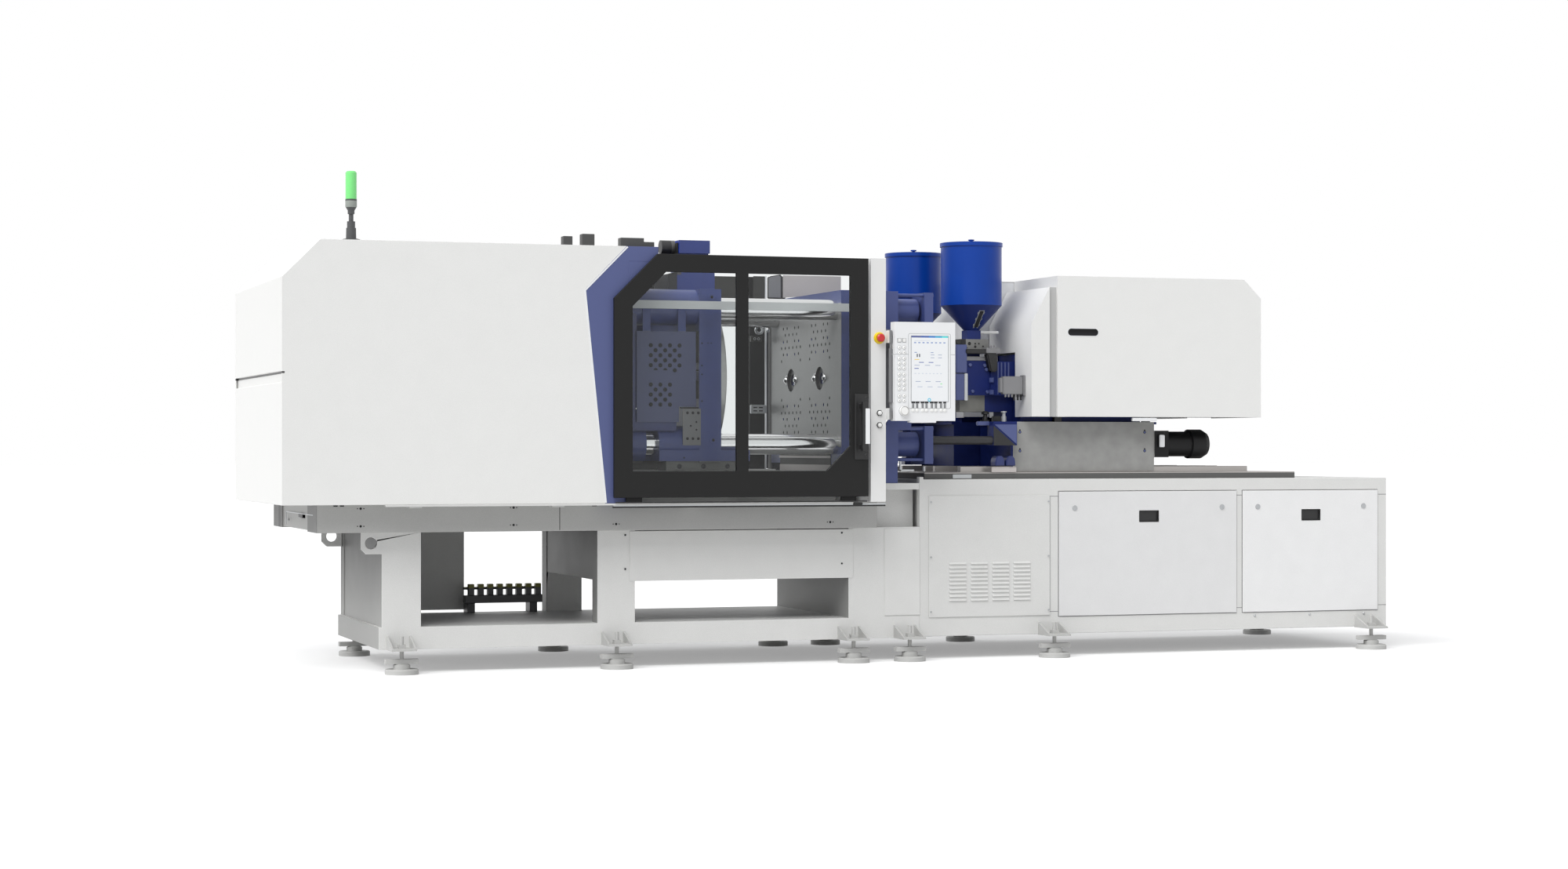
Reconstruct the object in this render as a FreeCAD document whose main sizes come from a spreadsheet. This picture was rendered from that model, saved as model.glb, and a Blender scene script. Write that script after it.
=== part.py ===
import FreeCAD, Part
import math
import os
import re
import Sketcher
from FreeCAD import Placement, Rotation, Vector

# Horizontal injection moulding machine with two injection units side by side.
# Frame: +X runs from the clamp end to the injection end, -Y is the operator's side,
# +Z is up, and the origin lies on the floor below the middle of the machine.

doc = FreeCAD.newDocument("moulding_machine")
sheet = doc.addObject("Spreadsheet::Sheet", "dims")

DIMENSIONS = [
    # whole machine
    ("half_length", 2972),
    ("centre_height", 1428),
    ("slide_gap", 0.3),
    ("sheet_wall", 4),
    # levelling feet
    ("pad_radius", 80),
    ("pad_height", 25),
    ("pad_lip", 4),
    ("foot_reach", 72),
    ("foot_bar_height", 22),
    ("foot_bar_depth", 40),
    ("foot_nut_radius", 30),
    ("foot_stud_radius", 10),
    ("foot_bracket_width", 120),
    ("foot_bracket_wall", 10),
    ("foot_gusset_height", 55),
    # clamp base: tray frame with columns
    ("base_left", -2481),
    ("base_right", 300),
    ("base_half_width", 560),
    ("base_bottom", 112),
    ("base_top", 218),
    ("base_plate", 12),
    ("base_rim", 60),
    ("column_width", 190),
    ("column_depth", 95),
    ("column_one", -2467),
    ("column_two", -1408),
    ("column_three", -106),
    ("block_left", 8),
    ("block_right", 278),
    ("block_top", 893),
    ("bulkhead_bottom", 425),
    ("bulkhead_wall", 12),
    ("lug_width", 100),
    ("lug_height", 105),
    ("lug_wall", 25),
    ("lug_hole_radius", 28),
    # clamp beams
    ("beam_left", -2793),
    ("beam_bottom", 672),
    ("beam_top", 805),
    ("beam_half_width", 670),
    ("beam_inner", 400),
    ("way_inner", 400),
    ("way_outer", 545),
    # bolted sheets of the clamp base
    ("panel_left", -1245),
    ("panel_right", -81),
    ("panel_bottom", 420),
    ("panel_wall", 4),
    ("rear_panel_right", -1824),
    # injection base
    ("cabinet_bottom", 115),
    ("cabinet_top", 912),
    ("louvre_panel_left", 327),
    ("louvre_panel_right", 996),
    ("louvre_panel_bottom", 212),
    ("louvre_panel_top", 828),
    ("louvre_width", 94),
    ("louvre_height", 10),
    ("louvre_pitch_across", 118.3),
    ("louvre_pitch_down", 20.7),
    ("louvre_first_left", 437),
    ("louvre_first_top", 490),
    ("door_one_left", 1049),
    ("door_one_right", 2071),
    ("door_two_left", 2108),
    ("door_two_right", 2916),
    ("cabinet_door_bottom", 205),
    ("cabinet_door_top", 846),
    ("cabinet_door_wall", 18),
    ("cabinet_door_proud", 6),
    ("flush_handle_width", 110),
    ("flush_handle_height", 55),
    ("flush_handle_drop", 103),
    ("flush_handle_deep", 14),
    ("lock_inset", 87),
    ("lock_drop", 85),
    ("lock_radius", 14),
    # clamp cover
    ("cover_half_width", 785),
    ("cover_right", -1163),
    ("cover_side_right", -1310),
    ("cover_step", 1968),
    ("cover_top", 2041),
    ("cover_chamfer", 176),
    ("cover_flange", 130),
    ("grip_band_low", 1376),
    ("grip_band_high", 1427),
    ("grip_band_deep", 12),
    # guard doors
    ("door_left", -1390),
    ("door_right", -92),
    ("door_bottom", 832),
    ("door_top", 2006),
    ("door_chamfer", 216),
    ("door_wall", 26),
    ("door_gap", 3),
    ("door_travel", 1100),
    ("pane_left", -1300),
    ("mullion_left", -775),
    ("mullion_right", -715),
    ("pane_right", -186),
    ("pane_bottom", 959),
    ("pane_top", 1920),
    ("pane_top_chamfer", 168),
    ("pane_low_chamfer", 122),
    ("pane_wall", 8),
    ("rail_height", 9),
    ("rail_depth", 34),
    ("hand_rail_y", 588),
    ("hand_rail_wall", 22),
    ("hand_rail_low", 1753),
    ("hand_rail_high", 1793),
    ("handle_left", -166),
    ("handle_bottom", 1014),
    ("handle_top", 1338),
    ("handle_stand", 48),
    ("handle_bar", 24),
    # operator post
    ("post_left", -77),
    ("post_right", 2),
    ("post_middle", -33),
    ("post_proud", 20),
    ("post_front", "=cover_half_width + post_proud"),
    ("post_depth", 70),
    ("post_bottom", 833),
    ("post_top", 2008),
    ("stop_height", 1615),
    ("stop_head_radius", 20),
    ("stop_travel", 5),
    ("stop_stem_radius", 8),
    ("button_high", 1244),
    ("button_low", 1184),
    ("button_radius", 11),
    ("button_travel", 3),
    # operator panel
    ("panel_x_left", 22),
    ("panel_x_right", 342),
    ("panel_z_low", 1205),
    ("panel_z_high", 1693),
    ("panel_proud", 75),
    ("panel_front", "=post_front + panel_proud"),
    ("panel_depth", 62),
    ("screen_left", 112),
    ("screen_width", 194),
    ("screen_low", 1281),
    ("screen_height", 345),
    ("knob_x", 68),
    ("knob_z", 1254),
    ("knob_radius", 24),
    # platens and tie bars
    ("platen_half_width", 551),
    ("platen_half_height", 436),
    ("platen_face", -141),
    ("platen_thick", 304),
    ("platen_waist", 90),
    ("nozzle_gap_radius", 40),
    ("ejector_radius", 14),
    ("table_shaft", 70),
    ("boss_half", 96),
    ("tie_across", 462),
    ("tie_up", 338),
    ("tie_radius", 52),
    ("tie_clear", 0.3),
    ("nozzle_across", 226),
    ("ring_bore_radius", 60),
    ("ring_bore_deep", 25),
    ("nozzle_cone_radius", 95),
    ("mould_bolt_radius", 8),
    ("mould_bolt_deep", 36),
    ("mould_near_y", 61),
    ("mould_near_z", 136),
    ("mould_far_y", 122),
    ("mould_far_z", 204),
    ("foot_top", 1000),
    ("nut_radius", 63),
    ("nut_length", 94),
    ("lock_plate_gap", 14),
    ("lock_plate_wall", 47),
    ("lock_rod_radius", 8),
    ("lock_rod_inset", 18),
    # moving platen
    ("drive_arch_radius", 158),
    ("moving_face", -772),
    ("moving_plate", 114),
    ("sleeve_left", -1227),
    ("sleeve_half", 90),
    ("window_left", -1155),
    ("window_right", -1091),
    ("shoe_left", -1055),
    ("shoe_right", -640),
    ("shoe_bottom", 959),
    ("shoe_top", 1006),
    ("saddle_left", -1123),
    ("saddle_right", -623),
    ("saddle_top", 1060),
    ("table_radius", 430),
    ("table_thick", 68),
    # toggle
    ("tail_face", -1640),
    ("tail_thick", 230),
    ("tail_nut", 70),
    ("tail_pivot", -1571),
    ("crosshead_x", -1591),
    ("guide_across", 80),
    ("guide_radius", 18),
    ("guide_reach", 380),
    ("pivot_rise", 385),
    ("link_length", 330),
    ("link_reach", 370.7),
    ("link_eye_radius", 50),
    ("link_pin_radius", 26),
    ("pin_clear", 0.05),
    ("link_wall", 46),
    ("rear_lane", 205),
    ("front_lane", 265),
    ("cross_lane", 152),
    ("cross_length", 212),
    ("cross_angle", 14.2),
    ("cross_pin_rise", 60),
    ("cross_pin_radius", 14),
    ("cross_eye_radius", 26),
    ("crosshead_length", 140),
    ("screw_radius", 30),
    # injection rails and carriages
    ("plate_left", 330),
    ("plate_right", 2457),
    ("plate_top", 946),
    ("rail_top", 976),
    ("rail_left", 700),
    ("rail_right", 2205),
    ("rail_outer", 432),
    ("rail_inner", 48),
    ("rail_width", 44),
    ("carriage_left", 831),
    ("carriage_right", 1651),
    ("carriage_top", 1207),
    ("carriage_outer", 436),
    ("carriage_inner", 6),
    ("unit_offset", 146),
    ("unit_split", 3),
    ("spindle_radius", 22),
    ("motor_height", 1092),
    ("panel_low", 953),
    ("side_panel_wall", 4),
    # barrels, screws and hoppers
    ("barrel_radius", 46),
    ("barrel_bore", 22),
    ("barrel_flange", 896),
    ("nozzle_tip", -20),
    ("nozzle_radius", 24),
    ("hopper_front_x", 700),
    ("hopper_front_radius", 159),
    ("hopper_front_rim", 2133),
    ("hopper_front_shoulder", 1813),
    ("hopper_rear_radius", 149),
    ("hopper_rear_rim", 2105),
    ("hopper_rear_shoulder", 1790),
    ("hopper_foot", 1637),
    ("hopper_neck", 1661),
    ("hopper_neck_radius", 20),
    ("hopper_wall", 3),
    ("gate_top", 1632),
    ("gate_bottom", 1585),
    # shroud
    ("shroud_left", 1042),
    ("shroud_right", 2217),
    ("shroud_bottom", 1232),
    ("shroud_top", 1958),
    ("shroud_half_width", 560),
    ("shroud_chamfer", 99),
    ("shroud_wall", 4),
    ("nose_left", 897),
    ("nose_right", 998),
    ("nose_low", 1716),
    ("nose_high", 1899),
    ("grip_low", 1652),
    # signal tower
    ("tower_in_x", 332),
    ("tower_in_y", 65),
]

COUNTS = [
    ("louvre_columns", 4),
    ("louvre_rows", 10),
]


def fill_sheet():
    for row, (alias, value) in enumerate(DIMENSIONS + COUNTS, start=1):
        sheet.set(f"A{row}", alias)
        sheet.set(f"B{row}", str(value))
        sheet.setAlias(f"B{row}", alias)
    doc.recompute()


fill_sheet()
ALIASES = {alias for alias, value in DIMENSIONS + COUNTS}


def size(alias):
    return float(getattr(sheet, alias))


def bound(text):
    """Write a size as a sheet expression: every alias gets the sheet's name."""
    return re.sub(r"[a-z][a-z_]+", lambda m: "dims." + m.group(0) if m.group(0) in ALIASES else m.group(0), str(text))


def bind(item, path, text):
    item.setExpression(path, bound(text))


def place(item, x, y, z):
    bind(item, "Placement.Base.x", x)
    bind(item, "Placement.Base.y", y)
    bind(item, "Placement.Base.z", z)


TURNS = {
    "+Z": Rotation(Vector(0, 0, 1), 0),
    "-Z": Rotation(Vector(1, 0, 0), 180),
    "+X": Rotation(Vector(0, 1, 0), 90),
    "-X": Rotation(Vector(0, 1, 0), -90),
    "+Y": Rotation(Vector(1, 0, 0), -90),
    "-Y": Rotation(Vector(1, 0, 0), 90),
}


def box(name, x, y, z):
    """Block between two planes along each row axis."""
    item = doc.addObject("Part::Box", name)
    bind(item, "Length", f"({x[1]}) - ({x[0]})")
    bind(item, "Width", f"({y[1]}) - ({y[0]})")
    bind(item, "Height", f"({z[1]}) - ({z[0]})")
    place(item, x[0], y[0], z[0])
    return item


def rod(name, axis, start, length, radius):
    """Round bar that grows from its start along an axis such as +X."""
    item = doc.addObject("Part::Cylinder", name)
    bind(item, "Radius", radius)
    bind(item, "Height", length)
    item.Placement = Placement(Vector(), TURNS[axis])
    place(item, *start)
    return item


def body_plane(body, role):
    for feature in body.Origin.OriginFeatures:
        if feature.Role == role:
            return feature
    raise ValueError(role)


def draw(sketch, outline):
    """Closed outline whose corners are held by named sizes."""
    points = [(value_of(u), value_of(v)) for u, v in outline]
    count = len(points)
    for index in range(count):
        a = points[index]
        b = points[(index + 1) % count]
        sketch.addGeometry(Part.LineSegment(Vector(*a, 0), Vector(*b, 0)), False)
    for index in range(count):
        sketch.addConstraint(Sketcher.Constraint("Coincident", index, 2, (index + 1) % count, 1))
    for index, (u, v) in enumerate(outline):
        hold(sketch, "DistanceX", index, 1, points[index][0], u)
        hold(sketch, "DistanceY", index, 1, points[index][1], v)


def hold(sketch, kind, line, end, value, text):
    if value == 0 and str(text) == "0":
        other = "Vertical" if kind == "DistanceX" else "Horizontal"
        sketch.addConstraint(Sketcher.Constraint(other, -1, 1, line, end))
        return
    number = sketch.addConstraint(Sketcher.Constraint(kind, -1, 1, line, end, value))
    sketch.setExpression(f"Constraints[{number}]", bound(text))


def value_of(text):
    """Number that a size expression gives now."""
    return float(sheet.evalExpression(bound(text)))


PLANES = {"XY": ("XY_Plane", "z", False), "XZ": ("XZ_Plane", "y", True), "YZ": ("YZ_Plane", "x", False)}


def prism(name, plane, outline, start, end, holes=()):
    """Outline drawn in a row plane and padded from start to end across it."""
    body = doc.addObject("PartDesign::Body", name)
    sketch = body.newObject("Sketcher::SketchObject", name + "_sketch")
    role, axis, reverse = PLANES[plane]
    sketch.AttachmentSupport = [(body_plane(body, role), "")]
    sketch.MapMode = "FlatFace"
    draw(sketch, outline)
    for u, v, radius in holes:
        drill(sketch, u, v, radius)
    pad = body.newObject("PartDesign::Pad", name + "_pad")
    pad.Profile = sketch
    pad.Reversed = reverse
    bind(pad, "Length", f"({end}) - ({start})")
    sketch.Visibility = False
    bind(body, "Placement.Base." + axis, start)
    return body


def drill(sketch, u, v, radius):
    line = sketch.GeometryCount
    centre = Vector(value_of(u), value_of(v), 0)
    sketch.addGeometry(Part.Circle(centre, Vector(0, 0, 1), value_of(radius)), False)
    hold(sketch, "DistanceX", line, 3, centre.x, u)
    hold(sketch, "DistanceY", line, 3, centre.y, v)
    number = sketch.addConstraint(Sketcher.Constraint("Radius", line, value_of(radius)))
    sketch.setExpression(f"Constraints[{number}]", bound(radius))


def turned(name, axis, start, profile):
    """Profile of (radius, distance) points turned about an axis that leaves start."""
    body = doc.addObject("PartDesign::Body", name)
    sketch = body.newObject("Sketcher::SketchObject", name + "_sketch")
    sketch.AttachmentSupport = [(body_plane(body, "XZ_Plane"), "")]
    sketch.MapMode = "FlatFace"
    draw(sketch, profile)
    turn = body.newObject("PartDesign::Revolution", name + "_turn")
    turn.Profile = sketch
    turn.ReferenceAxis = (sketch, ["V_Axis"])
    turn.Angle = 360
    sketch.Visibility = False
    body.Placement = Placement(Vector(), TURNS[axis])
    place(body, *start)
    return body


def join(name, items):
    item = doc.addObject("Part::MultiFuse", name)
    item.Shapes = items
    item.Refine = True
    return item


def cut(name, base, tools):
    item = doc.addObject("Part::Cut", name)
    item.Base = base
    item.Tool = tools[0] if len(tools) == 1 else join(name + "_tools", tools)
    item.Refine = True
    return item


def group(name, items):
    item = doc.addObject("Part::Compound", name)
    item.Links = items
    return item


nodes = []


def node(item, label):
    item.Label = label
    nodes.append(item)


def sides(outer, inner, sign):
    """Limits of a piece on the operator's side (-1) or on the rear side (+1)."""
    if sign < 0:
        return (f"-({outer})", f"-({inner})")
    return (inner, outer)


SIDE_NAMES = {-1: "front", 1: "rear"}
BOTH = (-1, 1)


# ---------------------------------------------------------------- machine base
def levelling_foot(number, x, sign):
    y = f"{sign} * (base_half_width + foot_reach)"
    centre = (x, y, "0")
    name = f"foot_{number}_{SIDE_NAMES[sign]}"
    pad = turned(name + "_pad", "+Z", centre, [
        ("0", "0"), ("pad_radius", "0"), ("pad_radius", "pad_height - pad_lip"),
        ("pad_radius - pad_lip", "pad_height"), ("foot_nut_radius + 10", "pad_height"),
        ("foot_nut_radius + 10", "2 * pad_height - 6"), ("foot_nut_radius", "2 * pad_height"),
        ("0", "2 * pad_height")])
    bar_top = "2 * pad_height + foot_bar_height"
    bar = box(name + "_bar", (f"{x} - pad_radius", f"{x} + pad_radius"),
              (f"{y} - foot_bar_depth / 2", f"{y} + foot_bar_depth / 2"), ("2 * pad_height", bar_top))
    stud = rod(name + "_stud", "+Z", (x, y, bar_top), f"base_top - 40 - ({bar_top})", "foot_stud_radius")
    half = "foot_bracket_width / 2"
    low = "base_bottom"
    shelf = box(name + "_shelf", (f"{x} - {half}", f"{x} + {half}"),
                sides("base_half_width + 2 * foot_reach", "base_half_width", sign),
                (low, "base_bottom + foot_bracket_wall"))
    wall = "foot_bracket_wall"
    pieces = [pad, bar, stud, shelf]
    out = f"{sign} * (base_half_width + 2 * foot_reach - 6)"
    face = f"{sign} * base_half_width"
    foot = "base_bottom + foot_bracket_wall"
    for edge, at in (("low", f"{x} - {half}"), ("high", f"{x} + {half} - {wall}")):
        outline = [(face, foot), (out, foot), (face, f"{foot} + foot_gusset_height")]
        pieces.append(prism(f"{name}_gusset_{edge}", "YZ", outline, at, f"{at} + {wall}"))
    nut = box(name + "_nut", (f"{x} - 17", f"{x} + 17"), (f"{y} - 17", f"{y} + 17"),
              (foot, f"{foot} + 18"))
    pieces.append(nut)
    return join(name, pieces)


FOOT_PLACES = [
    "base_left + 97", "column_two + 79", "column_three + 2", "block_right - 81",
    "louvre_panel_right - 4", "half_length - 135"]
feet = []
for number, place_x in enumerate(FOOT_PLACES, start=1):
    for sign in BOTH:
        feet.append(levelling_foot(number, place_x, sign))
node(group("feet_group", feet), "levelling_feet")

tray_outer = box("tray_outer", ("base_left", "block_right"), ("-base_half_width", "base_half_width"),
                 ("base_bottom", "base_top"))
tray_inner = box("tray_inner", ("base_left + base_rim", "column_three"),
                 ("-(base_half_width - base_rim)", "base_half_width - base_rim"),
                 ("base_bottom - 1", "base_top - base_plate"))
base_pieces = [cut("tray", tray_outer, [tray_inner])]
for number, column in enumerate(("column_one", "column_two"), start=1):
    for sign in BOTH:
        name = f"column_{number}_{SIDE_NAMES[sign]}"
        base_pieces.append(box(name, (column, f"{column} + column_width"),
                               sides("base_half_width", "base_half_width - column_depth", sign),
                               ("base_top", "beam_bottom")))
block_low = box("block_low", ("column_three", "block_right"), ("-base_half_width", "base_half_width"),
                ("base_top", "beam_bottom"))
block_back = box("block_back", ("block_left", "block_right"),
                 ("-(base_half_width - 90)", "base_half_width - 90"), ("beam_bottom", "block_top - 32"))
block_lid = box("block_lid", ("block_left", "block_right"), ("-base_half_width", "base_half_width"),
                ("block_top - 32", "block_top"))
base_pieces += [block_low, block_back, block_lid]
base_pieces.append(box("bulkhead", ("column_two + 4", "column_two + 4 + bulkhead_wall"),
                       ("-(base_half_width - column_depth)", "base_half_width - column_depth"),
                       ("bulkhead_bottom", "beam_bottom")))
base_pieces.append(box("end_sheet", ("column_one + 4", "column_one + 4 + bulkhead_wall"),
                       ("-(base_half_width - column_depth)", "base_half_width - column_depth"),
                       ("base_top", "beam_bottom")))
for sign in BOTH:
    name = f"lug_{SIDE_NAMES[sign]}"
    sheet_y = sides("base_half_width", "base_half_width - lug_wall", sign)
    outline = [("column_one - lug_width", "beam_bottom - lug_height + 25"),
               ("column_one - lug_width + 25", "beam_bottom - lug_height"),
               ("column_one", "beam_bottom - lug_height"),
               ("column_one", "beam_bottom"), ("column_one - lug_width", "beam_bottom")]
    base_pieces.append(prism(name, "XZ", outline, sheet_y[0], sheet_y[1],
                             [("column_one - lug_width / 2", "beam_bottom - lug_height / 2",
                               "lug_hole_radius")]))
node(join("base_weldment", base_pieces), "clamp_base")

beams = []
for sign in BOTH:
    name = SIDE_NAMES[sign]
    bar = box(f"beam_bar_{name}", ("beam_left", "block_left"),
              sides("beam_half_width", "beam_inner", sign), ("beam_bottom", "beam_top"))
    way = box(f"beam_way_{name}", ("tail_face - tail_thick - 60", "column_three - 60"),
              sides("way_outer", "way_inner", sign), ("beam_top", "shoe_bottom - slide_gap"))
    beams.append(join(f"beam_{name}", [bar, way]))
end_plate = cut("beam_end_plate", box("end_plate", ("beam_left + 10", "beam_left + 22"),
                                      ("-beam_inner", "beam_inner"), ("beam_bottom + 6", "beam_top - 4")),
                [box("end_slot", ("beam_left", "beam_left + 40"), ("-275", "-125"),
                     ("beam_top - 71", "beam_top - 52"))])
node(join("beam_frame", beams + [end_plate]), "clamp_beams")

panel_z = ("panel_bottom", "beam_bottom - 8")
front_y = ("-(base_half_width + panel_wall)", "-base_half_width")
rear_y = ("base_half_width", "base_half_width + panel_wall")
panels = [
    box("panel_middle", ("panel_left", "panel_right"), front_y, panel_z),
    box("panel_middle_rear", ("panel_left", "panel_right"), rear_y, panel_z),
    box("panel_right_front", ("column_three + column_width + 3", "block_right"), front_y,
        ("base_top + 8", "beam_bottom - 8")),
    box("panel_right_rear", ("column_three + column_width + 3", "block_right"), rear_y,
        ("base_top + 8", "beam_bottom - 8")),
    box("panel_left_rear", ("column_one + 6", "rear_panel_right"), rear_y,
        ("base_top + 13", "beam_bottom - 8")),
]
node(group("panel_set", panels), "frame_panels")

manifold_x = ("column_two - 440", "column_two - 30")
manifold_y = "base_half_width - 110"
valves = [box("manifold_rail", manifold_x, (f"{manifold_y} - 25", f"{manifold_y} + 25"),
              ("base_top + 52", "base_top + 92"))]
for index in range(8):
    x = f"column_two - 419 + {index} * 50.5"
    valves.append(box(f"valve_{index}", (x, f"{x} + 30"), (f"{manifold_y} - 18", f"{manifold_y} + 18"),
                      ("base_top + 92", "base_top + 150")))
valves.append(box("manifold_pipe", manifold_x, (f"{manifold_y} + 18", f"{manifold_y} + 32"),
                  ("base_top + 120", "base_top + 134")))
for index, at in enumerate(("column_two - 420", "column_two - 90")):
    valves.append(box(f"manifold_leg_{index}", (at, f"{at} + 40"),
                      (f"{manifold_y} + 10", "base_half_width - 4"), ("base_top", "base_top + 60")))
node(join("manifold_block", valves), "valve_manifold")


# --------------------------------------------------------------- injection base
def pocket(name, x, z, sign, deep):
    return box(name, x, sides("base_half_width + 1", f"base_half_width - ({deep})", sign), z)


door_z = ("cabinet_door_bottom", "cabinet_door_top")
DOORS = [("door_one_left", "door_one_right"), ("door_two_left", "door_two_right")]
inside = "cabinet_door_wall - cabinet_door_proud"
pockets = []
for number, (left, right) in enumerate(DOORS, start=1):
    pockets.append(pocket(f"door_pocket_{number}", (f"{left} - door_gap", f"{right} + door_gap"),
                          ("cabinet_door_bottom - door_gap", "cabinet_door_top + door_gap"), -1, inside))
core = box("cabinet_core", ("base_right", "half_length"), ("-base_half_width", "base_half_width"),
           ("cabinet_bottom", "cabinet_top"))
cabinet = [cut("cabinet_shell", core, pockets)]
for sign in BOTH:
    cabinet.append(box(f"cabinet_strip_{SIDE_NAMES[sign]}", ("block_right", "base_right"),
                       sides("base_half_width", "base_half_width - 40", sign),
                       ("cabinet_bottom", "cabinet_top + 12")))
REAR_COVERS = [("louvre_panel_left", "louvre_panel_right")] + DOORS
for number, (left, right) in enumerate(REAR_COVERS, start=1):
    cabinet.append(box(f"rear_cover_{number}", (left, right),
                       ("base_half_width", "base_half_width + cabinet_door_proud"), door_z))
node(join("cabinet_body", cabinet), "injection_base")

louvre_sheet = box("louvre_sheet", ("louvre_panel_left", "louvre_panel_right"),
                   ("-(base_half_width + cabinet_door_proud)", "-base_half_width"),
                   ("louvre_panel_bottom", "louvre_panel_top"))
hood_face = "-(base_half_width + cabinet_door_proud)"
hoods = []
last_hood = "louvre_first_left + louvre_pitch_across * (louvre_columns - 1) + louvre_width"
for index in range(int(size("louvre_rows"))):
    top = f"louvre_first_top - {index} * louvre_pitch_down"
    hoods.append(prism(f"hood_row_{index}", "YZ",
                       [(hood_face, top), (f"{hood_face} - 7", f"{top} - louvre_height"),
                        (hood_face, f"{top} - louvre_height")], "louvre_first_left", last_hood))
hood_rows = join("hood_rows", hoods)
gaps = []
for index in range(int(size("louvre_columns")) - 1):
    left = f"louvre_first_left + louvre_width + {index} * louvre_pitch_across"
    gaps.append(box(f"hood_gap_{index}", (left, f"{left} + louvre_pitch_across - louvre_width"),
                    (f"{hood_face} - 20", hood_face),
                    ("louvre_panel_bottom", "louvre_panel_top")))
node(join("louvred_sheet", [louvre_sheet, cut("hoods", hood_rows, gaps)]), "louvre_panel")


def cabinet_door(number, left, right):
    name = f"cabinet_door_{number}"
    leaf = box(name + "_leaf", (left, right),
               ("-(base_half_width + cabinet_door_proud)", f"-(base_half_width - ({inside}))"), door_z)
    middle = f"(({left}) + ({right})) / 2"
    half = "flush_handle_width / 2"
    grip = box(name + "_grip", (f"{middle} - {half}", f"{middle} + {half}"),
               ("-(base_half_width + cabinet_door_proud + 1)",
                "-(base_half_width + cabinet_door_proud - flush_handle_deep)"),
               ("cabinet_door_top - flush_handle_drop - flush_handle_height",
                "cabinet_door_top - flush_handle_drop"))
    return cut(name, leaf, [grip])


node(group("cabinet_door_pair", [cabinet_door(number, left, right)
                                 for number, (left, right) in enumerate(DOORS, start=1)]), "cabinet_doors")
locks = []
for number, (left, right) in enumerate(DOORS, start=1):
    for edge, x in (("a", f"{left} + lock_inset"), ("b", f"{right} - lock_inset")):
        locks.append(rod(f"lock_{number}_{edge}", "-Y",
                         (x, "-(base_half_width + cabinet_door_proud)", "cabinet_door_top - lock_drop"),
                         "3", "lock_radius"))
node(group("lock_set", locks), "cabinet_locks")


# ----------------------------------------------------------------------- guards
def cover_profile(inset):
    left = f"-half_length + ({inset})"
    top = f"cover_top - ({inset})"
    slope = f"cover_chamfer - 0.414 * ({inset})"
    return left, top, slope


cover_left, cover_roof, cover_slope = cover_profile("0")
shell_left, shell_roof, shell_slope = cover_profile("sheet_wall")
cover_outer = prism("cover_outer", "XZ", [
    (cover_left, "beam_top"), ("cover_side_right", "beam_top"), ("cover_side_right", "cover_step"),
    ("cover_right", "cover_step"), ("cover_right", cover_roof),
    (f"{cover_left} + {cover_slope}", cover_roof), (cover_left, f"{cover_roof} - ({cover_slope})")],
    "-cover_half_width", "cover_half_width")
cover_inner = prism("cover_inner", "XZ", [
    (shell_left, "beam_top + sheet_wall"), ("cover_right + 20", "beam_top + sheet_wall"),
    ("cover_right + 20", shell_roof), (f"{shell_left} + {shell_slope}", shell_roof),
    (shell_left, f"{shell_roof} - ({shell_slope})")],
    "-(cover_half_width - sheet_wall)", "cover_half_width - sheet_wall")
cover_mouth = box("cover_mouth", ("beam_left + 40", "cover_right + 30"),
                  ("-(cover_half_width - cover_flange)", "cover_half_width - cover_flange"),
                  ("beam_top - 10", "beam_top + sheet_wall"))
grip_band = box("grip_band", ("-half_length - 10", "-half_length + grip_band_deep"),
                ("-(cover_half_width - 20)", "cover_half_width - 20"),
                ("grip_band_low", "grip_band_high"))
grip_back = box("grip_back", ("-half_length + grip_band_deep", "-half_length + grip_band_deep + sheet_wall"),
                ("-(cover_half_width - 2)", "cover_half_width - 2"),
                ("grip_band_low - sheet_wall", "grip_band_high + sheet_wall"))
grip_lips = []
for name, low in (("low", "grip_band_low - sheet_wall"), ("high", "grip_band_high")):
    grip_lips.append(box("grip_lip_" + name, ("-half_length + 1", "-half_length + grip_band_deep + 2"),
                         ("-(cover_half_width - 2)", "cover_half_width - 2"),
                         (low, f"{low} + sheet_wall")))
cover_shell = cut("cover_shell", cover_outer, [cover_inner, cover_mouth, grip_band])
fittings = []
for number, (left, right, top) in enumerate(((-1620, -1574, 46), (-1527, -1465, 59), (-1336, -1218, 45),
                                             (-1218, -1166, 27)), start=1):
    fittings.append(box(f"fitting_{number}", (f"cover_right + {left + 1163}", f"cover_right + {right + 1163}"),
                        ("-(cover_half_width - 60)", "-(cover_half_width - 110)"),
                        ("cover_top", f"cover_top + {top}")))
node(join("cover_sheets", [cover_shell, grip_back] + grip_lips + fittings), "clamp_cover")

door_face = "cover_half_width + door_gap"
pane_left_outline = [
    ("pane_left", "pane_bottom"), ("mullion_left", "pane_bottom"), ("mullion_left", "pane_top"),
    ("pane_left + pane_top_chamfer", "pane_top"), ("pane_left", "pane_top - pane_top_chamfer")]
pane_right_outline = [
    ("mullion_right", "pane_bottom"), ("pane_right - pane_low_chamfer", "pane_bottom"),
    ("pane_right", "pane_bottom + pane_low_chamfer"), ("pane_right", "pane_top"),
    ("mullion_right", "pane_top")]
door_outline = [
    ("door_left", "door_bottom"), ("door_right", "door_bottom"), ("door_right", "door_top"),
    ("door_left + door_chamfer", "door_top"), ("door_left", "door_top - door_chamfer")]


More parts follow.
